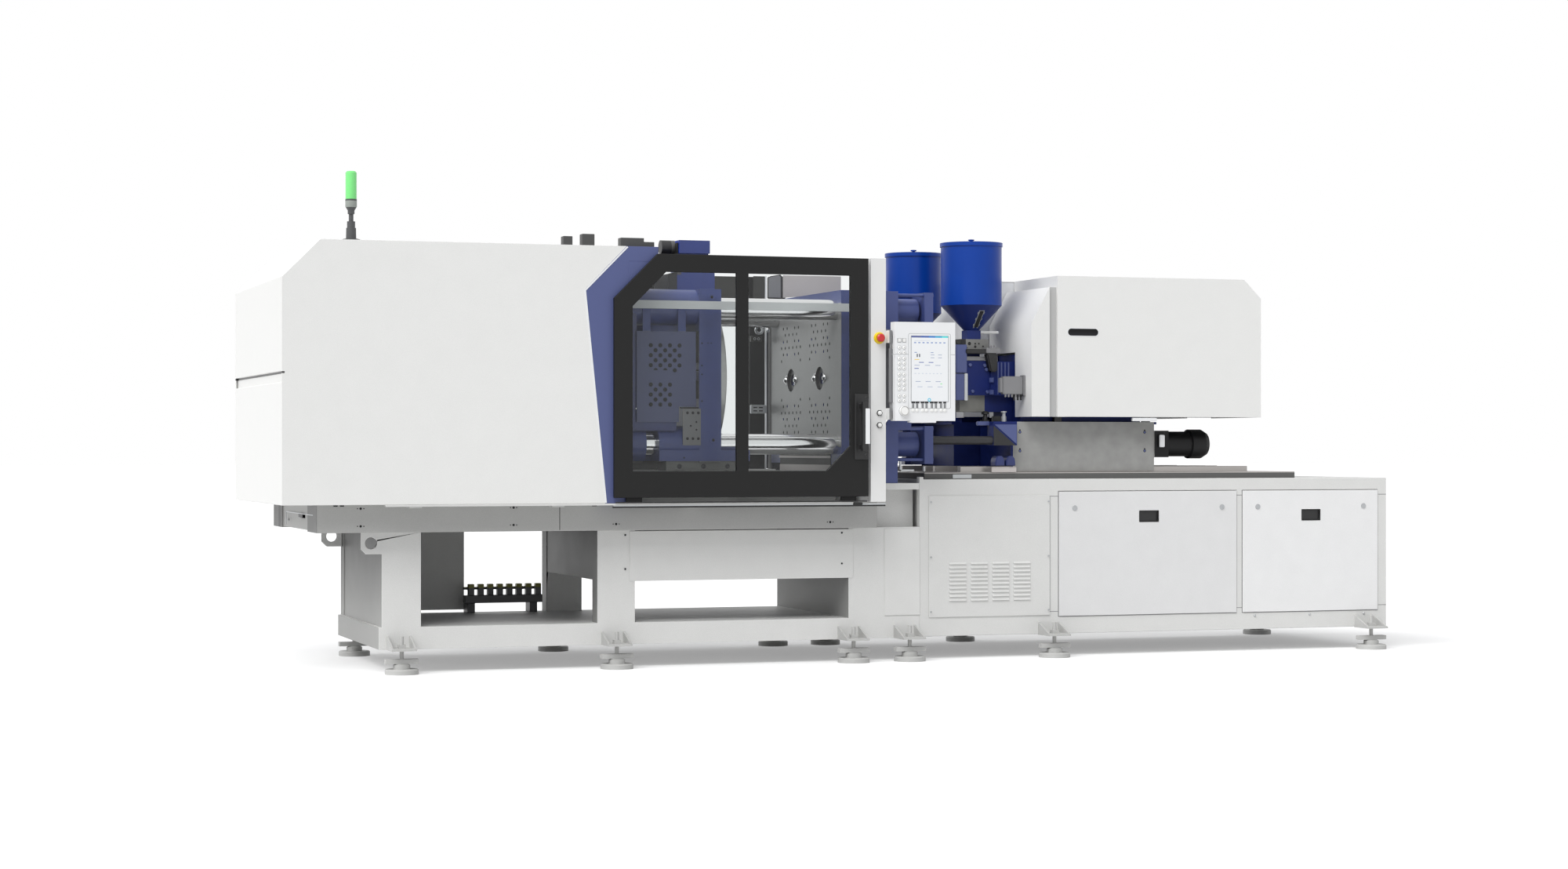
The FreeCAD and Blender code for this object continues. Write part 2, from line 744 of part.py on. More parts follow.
def guard_door(sign):
    name = SIDE_NAMES[sign] + "_door"
    near = sides(f"{door_face} + door_wall", door_face, sign)
    leaf = prism(name + "_leaf", "XZ", door_outline, near[0], near[1])
    holes = []
    for number, outline in enumerate((pane_left_outline, pane_right_outline), start=1):
        past = sides(f"{door_face} + door_wall + 5", f"{door_face} - 5", sign)
        holes.append(prism(f"{name}_window_{number}", "XZ", outline, past[0], past[1]))
    frame = cut(name + "_frame", leaf, holes)
    parts = [frame]
    for number, at in enumerate(("door_left + 60", "door_right - 140"), start=1):
        hook = sides(f"{door_face} + door_wall - 12", f"{door_face} + 2", sign)
        parts.append(box(f"{name}_hook_{number}", (at, f"{at} + 80"), hook,
                         ("beam_top + slide_gap", "door_bottom + 1")))
    panes = []
    for number, outline in enumerate((pane_left_outline, pane_right_outline), start=1):
        deep = sides(f"{door_face} + door_wall - 8", f"{door_face} + door_wall - 8 - pane_wall", sign)
        panes.append(prism(f"{name}_pane_{number}", "XZ", outline, deep[0], deep[1]))
    return join(name + "_leaf_set", parts), group(name + "_panes", panes)


def door_handle(sign):
    name = SIDE_NAMES[sign] + "_handle"
    skin = f"{door_face} + door_wall"
    plate = box(name + "_plate", ("handle_left", "door_right - 4"), sides(f"{skin} + 6", skin, sign),
                ("handle_bottom", "handle_top"))
    middle = "(handle_left + door_right) / 2 - 6"
    parts = [plate]
    for number, z in enumerate(("handle_bottom + 50", "handle_top - 74"), start=1):
        parts.append(box(f"{name}_post_{number}", (f"{middle} - 10", f"{middle} + 10"),
                         sides(f"{skin} + handle_stand", skin, sign), (z, f"{z} + 24")))
    parts.append(box(name + "_bar", (f"{middle} - 14", f"{middle} + 14"),
                     sides(f"{skin} + handle_stand + handle_bar", f"{skin} + handle_stand", sign),
                     ("handle_bottom + 40", "handle_top - 40")))
    return join(name, parts)


node(door_handle(-1), "front_door_handle")
for sign in BOTH:
    door, panes = guard_door(sign)
    if sign > 0:
        door = join("rear_door_with_handle", [door, door_handle(1)])
    node(door, SIDE_NAMES[sign] + "_door")
    node(panes, SIDE_NAMES[sign] + "_door_glass")

rails = []
for sign in BOTH:
    name = SIDE_NAMES[sign] + "_rail"
    bar = box(name + "_low", ("door_left - door_travel", "door_right - 30"),
              sides(f"{door_face} + door_wall - 11", "cover_half_width - rail_depth", sign),
              ("beam_top - rail_height", "beam_top"))
    parts = [bar]
    for number in range(4):
        x = f"door_left - door_travel + 120 + {number} * (door_travel + door_right - door_left - 330) / 3"
        parts.append(box(f"{name}_bracket_{number}", (x, f"{x} + 60"),
                         sides("cover_half_width - rail_depth", "beam_half_width", sign),
                         ("beam_top - rail_height - 8", "beam_top - 1")))
    rails.append(join(name, parts))

hinge_x = "post_right + 10"
hinge_y = "-(post_front + 41)"
arm_parts = []
for number, z in enumerate((("panel_z_low + 6", "panel_z_low + 60"), ("panel_z_high - 103", "panel_z_high - 41")),
                           start=1):
    arm_parts.append(box(f"hinge_block_{number}", ("post_right", f"{hinge_x} + 4"),
                         (f"{hinge_y} - 7", "-(post_front - 45)"), z))
arm_parts.append(rod("hinge_pin", "+Z", (hinge_x, hinge_y, "panel_z_low + 30"),
                     "panel_z_high - panel_z_low - 100", "5"))
for sign in BOTH:
    name = SIDE_NAMES[sign] + "_post"
    mast = box(name + "_mast", ("post_left", "post_right"),
               sides("post_front", "post_front - post_depth", sign), ("post_bottom", "post_top"))
    foot = box(name + "_foot", ("post_left", "post_right"),
               sides("post_front", "beam_half_width - 40", sign), ("beam_top", "post_bottom"))
    parts = [mast, foot]
    if sign < 0:
        parts.append(turned("stop_collar", "-Y", ("post_middle", "-post_front", "stop_height"), [
            ("0", "0"), ("30", "0"), ("24", "12"), ("0", "12")]))
        for number, z in enumerate(("button_high", "button_low"), start=1):
            parts.append(rod(f"button_ring_{number}", "-Y", ("post_middle", "-post_front", z), "4",
                             "button_radius + 5"))
        mast = join("post_solid", parts + arm_parts)
        bores = [rod("stop_bore", "+Y", ("post_middle", "-post_front - 13", "stop_height"), "40",
                     "stop_stem_radius + pin_clear")]
        for number, z in enumerate(("button_high", "button_low"), start=1):
            bores.append(rod(f"button_bore_{number}", "+Y", ("post_middle", "-post_front - 5", z), "30",
                             "button_radius + pin_clear"))
        node(cut("post_bored", mast, bores), "operator_post")
    else:
        rail_post = join("post_plain", parts)

hand_rail = join("hand_rail", [
    box("hand_rail_bar", ("cover_side_right - 90", "post_left + 50"),
        ("-(hand_rail_y + hand_rail_wall)", "-hand_rail_y"), ("hand_rail_low", "hand_rail_high")),
    box("hand_rail_bracket_left", ("cover_side_right - 90", "cover_side_right - 50"),
        ("-(cover_half_width - sheet_wall)", "-hand_rail_y"), ("hand_rail_low + 6", "hand_rail_high - 6")),
    box("hand_rail_bracket_right", ("post_left + 10", "post_left + 50"),
        ("-(post_front - post_depth)", "-hand_rail_y"), ("hand_rail_low + 6", "hand_rail_high - 6"))])
node(group("rail_set", rails + [rail_post, hand_rail]), "guard_rails")

node(turned("stop_head", "-Y", ("post_middle", "-post_front + 18", "stop_height"), [
    ("0", "0"), ("stop_stem_radius", "0"), ("stop_stem_radius", "30 + stop_travel + 0.5"),
    ("stop_head_radius", "32 + stop_travel"), ("stop_head_radius", "42 + stop_travel"),
    ("stop_head_radius - 5", "47 + stop_travel"), ("0", "48 + stop_travel")]), "emergency_stop")
for label, z in (("button_upper", "button_high"), ("button_lower", "button_low")):
    node(turned(label + "_cap", "-Y", ("post_middle", "-post_front + 16", z), [
        ("0", "0"), ("button_radius", "0"), ("button_radius", "20 + button_travel"),
        ("button_radius - 4", "23 + button_travel"), ("0", "24 + button_travel")]), label)

tower_x, tower_y = "tower_in_x - half_length", "tower_in_y - cover_half_width"
tower_at = (tower_x, tower_y, "cover_top")
node(turned("tower_column", "+Z", tower_at, [
    ("0", "0"), ("42", "0"), ("42", "5"), ("24", "10"), ("23", "58"), ("19", "60"), ("19", "89"),
    ("11", "90"), ("11", "122"), ("16", "124"), ("16", "140"), ("27", "158"), ("27", "193"),
    ("0", "193")]), "signal_tower")
node(turned("tower_lens", "+Z", (tower_x, tower_y, "cover_top + 193"), [
    ("0", "0"), ("26", "0"), ("26", "124"), ("20", "131"), ("0", "132")]), "signal_lens")

# --------------------------------------------------------------- operator panel
housing = prism("housing_block", "XZ", [
    ("panel_x_left", "panel_z_low"), ("panel_x_right", "panel_z_low"),
    ("panel_x_right", "panel_z_high"), ("panel_x_left", "panel_z_high")],
    "-panel_front", "-(panel_front - panel_depth)")
screen_x = ("screen_left", "screen_left + screen_width")
screen_z = ("screen_low", "screen_low + screen_height")
screen_pocket = box("screen_pocket", screen_x, ("-panel_front - 1", "-panel_front + 3"), screen_z)
knob_bore = rod("knob_bore", "+Y", ("knob_x", "-panel_front - 1", "knob_z"), "16", "5 + pin_clear")
sleeve_z = ("panel_z_low + 90", "panel_z_high - 130")
sleeve = rod("hinge_sleeve", "+Z", (hinge_x, hinge_y, sleeve_z[0]), f"({sleeve_z[1]}) - ({sleeve_z[0]})",
             "9.5")
tongue = box("hinge_tongue", (hinge_x, "panel_x_left + 1"), (f"{hinge_y} - 5", f"{hinge_y} + 5"), sleeve_z)
sleeve_bore = rod("sleeve_bore", "+Z", (hinge_x, hinge_y, f"({sleeve_z[0]}) - 1"),
                  f"({sleeve_z[1]}) - ({sleeve_z[0]}) + 2", "5 + pin_clear")
lip = box("housing_lip", ("screen_left - 6", "screen_left + 128"), ("-panel_front", "-panel_front + 14"),
          ("panel_z_low - 9", "panel_z_low"))
node(cut("housing_bored", join("housing_solid", [housing, sleeve, tongue, lip]),
         [screen_pocket, knob_bore, sleeve_bore]), "hmi_housing")
node(box("screen_pane", screen_x, ("-panel_front", "-panel_front + 3"), screen_z), "hmi_screen")
node(turned("knob_turned", "-Y", ("knob_x", "-panel_front + 13", "knob_z"), [
    ("0", "0"), ("5", "0"), ("5", "13.4"), ("knob_radius", "13.4"), ("knob_radius", "22"),
    ("knob_radius - 6", "30"), ("0", "30")]), "hmi_knob")
# ---------------------------------------------------------- platens and tie bars
mid = "centre_height"
PLACES = [(sy, sz) for sy in BOTH for sz in BOTH]


def tie_place(sy, sz):
    return f"{sy} * tie_across", f"{mid} + {sz} * tie_up"


def corner(name, x, half, sy, sz):
    y, z = tie_place(sy, sz)
    return box(name, x, (f"{y} - {half}", f"{y} + {half}"), (f"{z} - {half}", f"{z} + {half}"))


def bar_bores(name, start, length, radius):
    bores = []
    for index, (sy, sz) in enumerate(PLACES):
        y, z = tie_place(sy, sz)
        bores.append(rod(f"{name}_{index}", "+X", (start, y, z), length, radius))
    return bores


fixed_back = "platen_face + platen_thick"
fixed = [box("fixed_plate", ("platen_face", "platen_face + platen_waist"),
             ("-platen_half_width", "platen_half_width"),
             (f"{mid} - platen_half_height", f"{mid} + platen_half_height")),
         box("fixed_hub", ("platen_face + platen_waist", f"{fixed_back} - 30"),
             ("-(tie_across - boss_half)", "tie_across - boss_half"),
             (f"{mid} - tie_up + boss_half - 20", f"{mid} + tie_up - boss_half + 20"))]
for index, (sy, sz) in enumerate(PLACES):
    fixed.append(corner(f"fixed_boss_{index}", ("platen_face + platen_waist", fixed_back), "boss_half", sy, sz))
for sign in BOTH:
    name = SIDE_NAMES[sign]
    fixed.append(box(f"fixed_rib_{name}", ("platen_face + platen_waist", f"{fixed_back} - 60"),
                     (f"{sign} * tie_across - 30", f"{sign} * tie_across + 30"),
                     (f"{mid} - tie_up", f"{mid} + tie_up")))
    fixed.append(box(f"fixed_foot_{name}", ("block_left + 32", fixed_back),
                     sides("platen_half_width", "tie_across - boss_half", sign),
                     ("block_top", f"{mid} - platen_half_height + 30")))
fixed_tools = bar_bores("fixed_bar_bore", "platen_face - 1", "platen_thick + 2", "tie_radius + tie_clear")
for sign in BOTH:
    name = SIDE_NAMES[sign]
    at = f"{sign} * nozzle_across"
    fixed_tools.append(turned(f"nozzle_bore_{name}", "+X", ("platen_face - 1", at, mid), [
        ("0", "0"), ("ring_bore_radius", "0"), ("ring_bore_radius", "ring_bore_deep + 1"),
        ("nozzle_gap_radius", "ring_bore_deep + 1"), ("nozzle_gap_radius", "platen_waist + 1"),
        ("nozzle_cone_radius", "platen_thick"), ("0", "platen_thick")]))
MOULD_BOLTS = [(ring, a, b) for ring in ("near", "far") for a, b in PLACES]


def mould_holes(name, start, axis):
    holes = []
    for sign in BOTH:
        for index, (ring, a, b) in enumerate(MOULD_BOLTS):
            y = f"{sign} * nozzle_across + {a} * mould_{ring}_y"
            z = f"{mid} + {b} * mould_{ring}_z"
            holes.append(rod(f"{name}_{SIDE_NAMES[sign]}_{index}", axis, (start, y, z),
                             "mould_bolt_deep + 1", "mould_bolt_radius"))
    return holes


fixed_tools += mould_holes("fixed_hole", "platen_face - 1", "+X")
node(cut("fixed_platen_bored", join("fixed_platen_solid", fixed), fixed_tools), "fixed_platen")

bars = []
bar_left = "tail_face - tail_thick - tail_nut"
for index, (sy, sz) in enumerate(PLACES):
    y, z = tie_place(sy, sz)
    length = f"({fixed_back}) - ({bar_left})"
    bars.append(turned(f"tie_bar_{index}", "+X", (bar_left, y, z), [
        ("0", "0"), ("nut_radius + 12", "0"), ("nut_radius + 12", "tail_nut"),
        ("tie_radius", "tail_nut"), ("tie_radius", length), ("nut_radius", length),
        ("nut_radius", f"{length} + nut_length + 34"), ("0", f"{length} + nut_length + 34")]))
node(group("tie_bar_set", bars), "tie_bars")
lock_left = f"{fixed_back} + nut_length + 34 + lock_plate_gap"
lock_parts = []
for index, (sy, sz) in enumerate(PLACES):
    parts = [corner(f"lock_plate_{index}", (lock_left, f"{lock_left} + lock_plate_wall"),
                    "boss_half - 4", sy, sz)]
    y, z = tie_place(sy, sz)
    for number, (a, b) in enumerate(PLACES):
        reach = "boss_half - lock_rod_inset"
        parts.append(rod(f"lock_rod_{index}_{number}", "+X",
                         (fixed_back, f"{y} + {a} * ({reach})", f"{z} + {b} * ({reach})"),
                         f"({lock_left}) - ({fixed_back}) + lock_plate_wall + 8", "lock_rod_radius"))
    lock_parts.append(join(f"lock_{index}", parts))
node(group("lock_group", lock_parts), "tie_bar_locks")

moving_back = "moving_face - moving_plate"
slide_bore = "tie_radius + pin_clear"
moving = [box("moving_plate_block", (moving_back, "moving_face"),
              ("-platen_half_width", "platen_half_width"),
              (f"{mid} - tie_up - sleeve_half", f"{mid} + tie_up + sleeve_half"))]
for index, (sy, sz) in enumerate(PLACES):
    y, z = tie_place(sy, sz)
    moving.append(rod(f"moving_sleeve_{index}", "+X", ("sleeve_left", y, z), f"{moving_back} - sleeve_left + 1",
                      "sleeve_half"))
    moving.append(box(f"moving_web_{index}", ("sleeve_left + 90", moving_back),
                      sides("tie_across", "tie_across - sleeve_half + 30", sy),
                      (f"{z} - 24", f"{z} + 24")))
for sign in BOTH:
    name = SIDE_NAMES[sign]
    moving.append(box(f"moving_saddle_{name}", ("saddle_left", "saddle_right"),
                      sides("platen_half_width", "way_inner", sign), ("shoe_top", "saddle_top")))
    moving.append(box(f"moving_shoe_{name}", ("shoe_left", "shoe_right"),
                      sides("way_outer", "way_inner", sign), ("shoe_bottom", "shoe_top")))
    for side, lift in (("upper", 1), ("lower", -1)):
        for wall, lane in (("outer", "front_lane + link_wall / 2 + 10"),
                           ("inner", "front_lane - link_wall / 2 - 10")):
            y = f"{sign} * ({lane})"
            z = f"{mid} + {lift} * pivot_rise"
            moving.append(box(f"moving_ear_{name}_{side}_{wall}",
                              ("tail_pivot + link_reach - 50", moving_back),
                              (f"{y} - 8", f"{y} + 8"), (f"{z} - 50", f"{z} + 40")))
        moving.append(rod(f"moving_pin_{name}_{side}", "+Y",
                          ("tail_pivot + link_reach", f"{sign} * front_lane - link_wall / 2 - 12",
                           f"{mid} + {lift} * pivot_rise"), "link_wall + 24", "link_pin_radius"))
moving_tools = bar_bores("moving_bar_bore", "sleeve_left - 1", "saddle_right - sleeve_left + 2", slide_bore)
for sign in BOTH:
    name = SIDE_NAMES[sign]
    moving_tools.append(box(f"sleeve_window_{name}", ("window_left", "window_right"),
                            sides("platen_half_width + 10", "tie_across - 60", sign),
                            (f"{mid} - tie_up - sleeve_half - 1", f"{mid} - tie_up + sleeve_half + 1")))
    moving_tools.append(rod(f"ejector_bore_{name}", "+X", (f"{moving_back} - 1", f"{sign} * nozzle_across", mid),
                            "moving_plate + 2", "ejector_radius + pin_clear"))
moving_tools.append(rod("table_bore", "+X", (f"{moving_back} - 1", "0", mid), "moving_plate + 2",
                        "table_shaft + pin_clear"))
node(cut("moving_platen_bored", join("moving_platen_solid", moving), moving_tools), "moving_platen")

disc = turned("table_disc", "+X", (f"{moving_back} - 36", "0", mid), [
    ("0", "0"), ("table_shaft + 20", "0"), ("table_shaft + 20", "36 - slide_gap"),
    ("table_shaft", "36 - slide_gap"), ("table_shaft", "36 + moving_plate + slide_gap"),
    ("table_radius", "36 + moving_plate + slide_gap"), ("table_radius", "36 + moving_plate + table_thick"),
    ("0", "36 + moving_plate + table_thick")])
table_tools = mould_holes("table_hole", "moving_face + table_thick + 1", "-X")
for sign in BOTH:
    table_tools.append(rod(f"table_ring_{SIDE_NAMES[sign]}", "-X",
                           ("moving_face + table_thick + 1", f"{sign} * nozzle_across", mid),
                           "ring_bore_deep + 1", "ring_bore_radius"))
node(cut("table_bored", disc, table_tools), "rotary_table")

platen_top = f"{mid} + tie_up + sleeve_half"
drive = [
    box("drive_foot", (f"{moving_back} + 6", "moving_face - 3"), ("-130", "130"),
        (platen_top, f"{platen_top} + 22")),
    box("drive_neck", ("moving_face - 37", "moving_face + 110"), ("-90", "90"),
        (f"{platen_top} + 10", f"{platen_top} + 116")),
    box("drive_mast", ("moving_face - 79", "moving_face + 85"), ("-62", "62"),
        (f"{platen_top} + 116", f"{platen_top} + 208")),
    box("drive_head", ("moving_face - 79", "moving_face + 85"), ("-90", "90"),
        (f"{platen_top} + 208", f"{platen_top} + 274")),
    rod("drive_motor", "-X", ("moving_face - 79", "0", f"{platen_top} + 241"), "75", "36"),
    cut("drive_arch", rod("drive_arch_round", "+Y", ("moving_face - 92", "-130", f"{platen_top} - 50"), "260",
                          "drive_arch_radius"),
        [box("drive_arch_base", ("moving_face - 400", "moving_face + 200"), ("-140", "140"),
             (f"{platen_top} - 300", f"{platen_top} + 10")),
         box("drive_arch_back", ("moving_face - 400", "moving_face - 150"), ("-140", "140"),
             (f"{platen_top} - 10", f"{platen_top} + 200"))]),
]
node(join("drive_solid", drive), "rotary_drive")

skin = ("-(tie_across + sleeve_half + 4)", "-(tie_across + sleeve_half)")
guard_low = f"{mid} - tie_up + sleeve_half + 18"
guard_high = f"{mid} + tie_up - sleeve_half - 33"
guard_plate = prism("guard_plate", "XZ", [
    ("sleeve_left + 19", guard_low), ("sleeve_left + 235", guard_low),
    ("sleeve_left + 235", f"{guard_low} + 77"), ("sleeve_left + 323", f"{guard_low} + 77"),
    ("sleeve_left + 323", guard_high), ("sleeve_left + 19", guard_high)], skin[0], skin[1])
tabs = []
for number, x in enumerate(("sleeve_left + 50", "sleeve_left + 230"), start=1):
    tabs.append(box(f"guard_tab_{number}", (x, f"{x} + 40"), skin, (guard_high, f"{mid} + tie_up + 6")))
drilled = box("drilled_plate", ("sleeve_left + 255", "sleeve_left + 348"), skin,
              (f"{mid} - tie_up - 6", f"{mid} - 163"))
node(group("guard_group", [join("guard_solid", [guard_plate] + tabs), drilled]), "side_guard")

ejector = [box("ejector_beam", (f"{moving_back} - 130", f"{moving_back} - 90"),
               ("-nozzle_across - 20", "nozzle_across + 20"), (f"{mid} - 22", f"{mid} + 22"))]
for sign in BOTH:
    ejector.append(rod(f"ejector_rod_{SIDE_NAMES[sign]}", "+X",
                       (f"{moving_back} - 91", f"{sign} * nozzle_across", mid), "moving_plate + 26",
                       "ejector_radius"))
node(join("ejector_solid", ejector), "ejector_bar")


# ----------------------------------------------------------------------- toggle
tail_half = "tie_across + sleeve_half"
tail_left = "tail_face - tail_thick"
tail = [box("tail_block", (tail_left, "tail_face"), (f"-({tail_half})", tail_half),
            (f"{mid} - tie_up - sleeve_half", f"{mid} + tie_up + sleeve_half")),
        box("tail_plate", (f"{tail_left} - 30", tail_left), ("-240", "240"),
            (f"{mid} - 150", f"{mid} + 150"))]
for sign in BOTH:
    name = SIDE_NAMES[sign]
    tail.append(box(f"tail_foot_{name}", (tail_left, "tail_face"), sides("way_outer", "way_inner", sign),
                    ("shoe_bottom - slide_gap", f"{mid} - tie_up - sleeve_half + 1")))
    for side, lift in (("upper", 1), ("lower", -1)):
        z = f"{mid} + {lift} * pivot_rise"
        for wall, lane in (("outer", "rear_lane + link_wall / 2 + 12"),
                           ("inner", "rear_lane - link_wall / 2 - 12")):
            y = f"{sign} * ({lane})"
            tail.append(box(f"tail_ear_{name}_{side}_{wall}", ("tail_face - 1", "tail_pivot + 50"),
                            (f"{y} - 8", f"{y} + 8"), (f"{z} - 50", f"{z} + 40")))
        tail.append(rod(f"tail_pin_{name}_{side}", "+Y",
                        ("tail_pivot", f"{sign} * rear_lane - link_wall / 2 - 12", z),
                        "link_wall + 24", "link_pin_radius"))
    tail.append(rod(f"guide_rod_{name}", "+X", (tail_left, f"{sign} * guide_across", mid),
                    "tail_thick + guide_reach", "guide_radius"))
tail_window = box("tail_window", (tail_left, "tail_face + 1"), ("-(cross_lane + 30)", "cross_lane + 30"),
                  (f"{mid} - 110", f"{mid} + 110"))
tail_core = cut("tail_core", tail[0], [tail_window])
tail_bores = bar_bores("tail_bar_bore", f"{tail_left} - 1", "tail_thick + 2", "tie_radius + tie_clear")
tail_bores.append(rod("tail_screw_bore", "+X", (f"{tail_left} - 40", "0", mid), "60",
                      "screw_radius + pin_clear"))
node(cut("tail_bored", join("tail_solid", [tail_core] + tail[1:]), tail_bores), "tail_platen")


def link(name, lane, pivot, ends, radius, angle, pin, axis_sign):
    """Flat link with an eye at each end, drawn level and turned about its pivot."""
    parts = []
    y = (f"{lane} - link_wall / 2", f"{lane} + link_wall / 2")
    web = box(name + "_web", ("0", f"{ends}"), ("0", "link_wall"), (f"-({radius}) * 0.8", f"({radius}) * 0.8"))
    eye_a = rod(name + "_eye_a", "+Y", ("0", "0", "0"), "link_wall", radius)
    eye_b = rod(name + "_eye_b", "+Y", (ends, "0", "0"), "link_wall", radius)
    bore_a = rod(name + "_bore_a", "+Y", ("0", "-1", "0"), "link_wall + 2", f"{pin} + pin_clear")
    bore_b = rod(name + "_bore_b", "+Y", (ends, "-1", "0"), "link_wall + 2", f"{pin} + pin_clear")
    solid = cut(name, join(name + "_solid", [web, eye_a, eye_b]), [bore_a, bore_b])
    solid.Placement = Placement(Vector(), Rotation(Vector(0, 1, 0), value_of(angle)))
    bind(solid, "Placement.Rotation.Angle", angle)
    place(solid, pivot[0], y[0], pivot[1])
    return solid


for side, lift in (("upper", 1), ("lower", -1)):
    z = f"{mid} + {lift} * pivot_rise"
    fold = "(acos(link_reach / (2 * link_length)) / 1 deg)"
    rear_links = []
    front_links = []
    cross_links = []
    for sign in BOTH:
        name = SIDE_NAMES[sign]
        rear_links.append(link(f"rear_link_{side}_{name}", f"{sign} * rear_lane", ("tail_pivot", z),
                               "link_length", "link_eye_radius", f"{lift} * {fold}", "link_pin_radius", 1))
        front_links.append(link(f"front_link_{side}_{name}", f"{sign} * front_lane",
                                ("tail_pivot + link_reach", z), "link_length", "link_eye_radius",
                                f"180 - {lift} * {fold}", "link_pin_radius", 1))
        cross_links.append(link(f"cross_link_{side}_{name}", f"{sign} * cross_lane",
                                ("crosshead_x", f"{mid} + {lift} * cross_pin_rise"), "cross_length",
                                "cross_eye_radius", f"{-lift} * cross_angle", "cross_pin_radius", 1))
    node(group(f"rear_links_{side}_pair", rear_links), f"rear_links_{side}")
    node(group(f"front_links_{side}_pair", front_links), f"front_links_{side}")
    node(group(f"cross_links_{side}_pair", cross_links), f"cross_links_{side}")

head_half = "cross_lane - link_wall / 2 - 5"
head = [box("crosshead_block", ("crosshead_x - crosshead_length / 2", "crosshead_x + crosshead_length / 2"),
            (f"-({head_half})", head_half), (f"{mid} - cross_pin_rise - 24", f"{mid} + cross_pin_rise + 24"))]
for lift in (1, -1):
    head.append(rod(f"crosshead_pin_{'upper' if lift > 0 else 'lower'}", "+Y",
                    ("crosshead_x", "-cross_lane - link_wall / 2", f"{mid} + {lift} * cross_pin_rise"),
                    "2 * cross_lane + link_wall", "cross_pin_radius"))
head_tools = [rod("crosshead_nut_bore", "+X", ("crosshead_x - crosshead_length", "0", mid),
                  "2 * crosshead_length", "screw_radius + pin_clear")]
for sign in BOTH:
    head_tools.append(rod(f"crosshead_guide_bore_{SIDE_NAMES[sign]}", "+X",
                          ("crosshead_x - crosshead_length", f"{sign} * guide_across", mid),
                          "2 * crosshead_length", "guide_radius + pin_clear"))
node(cut("crosshead_bored", join("crosshead_solid", head), head_tools), "crosshead")
node(rod("clamp_screw_bar", "+X", (f"{tail_left} - 230", "0", mid), "230 + tail_thick + guide_reach - 30",
         "screw_radius"), "clamp_screw")
motor_parts = [
    box("lantern", (f"{tail_left} - 250", f"{tail_left} - 30"), ("-110", "110"),
        (f"{mid} - 110", f"{mid} + 110")),
    box("motor_block", (f"{tail_left} - 600", f"{tail_left} - 250"), ("-125", "125"),
        (f"{mid} - 125", f"{mid} + 125"))]
motor_bore = rod("motor_bore", "+X", (f"{tail_left} - 240", "0", mid), "300", "screw_radius + pin_clear")
node(cut("motor_bored", join("motor_solid", motor_parts), [motor_bore]), "clamp_motor")


# ------------------------------------------------------------- injection units
bed = [box("bed_plate", ("plate_left", "plate_right"), ("-(rail_outer + 60)", "rail_outer + 60"),
           ("cabinet_top", "plate_top"))]
for sign in BOTH:
    name = SIDE_NAMES[sign]
    bed.append(box(f"rail_outer_{name}", ("rail_left - 146", "rail_right"),
                   sides("rail_outer", "rail_outer - rail_width", sign), ("plate_top", "rail_top")))
    bed.append(box(f"rail_inner_{name}", ("rail_left - 146", "rail_right"),
                   sides("rail_inner + rail_width", "rail_inner", sign), ("plate_top", "rail_top")))
node(join("bed_solid", bed), "base_rails")

spindles = []
spindle_across = "tie_across + 8"
spindle_rise = f"{mid} - tie_up + 20"
lock_right = f"{lock_left} + lock_plate_wall"
UNITS = [(-1, "0"), (1, "unit_offset")]
for sign, shift in UNITS:
    spindles.append(rod(f"spindle_{SIDE_NAMES[sign]}", "+X",
                        (lock_right, f"{sign} * ({spindle_across})", spindle_rise),
                        f"carriage_left - 31 - ({shift}) - ({lock_right})", "spindle_radius"))
node(group("spindle_pair", spindles), "carriage_spindles")


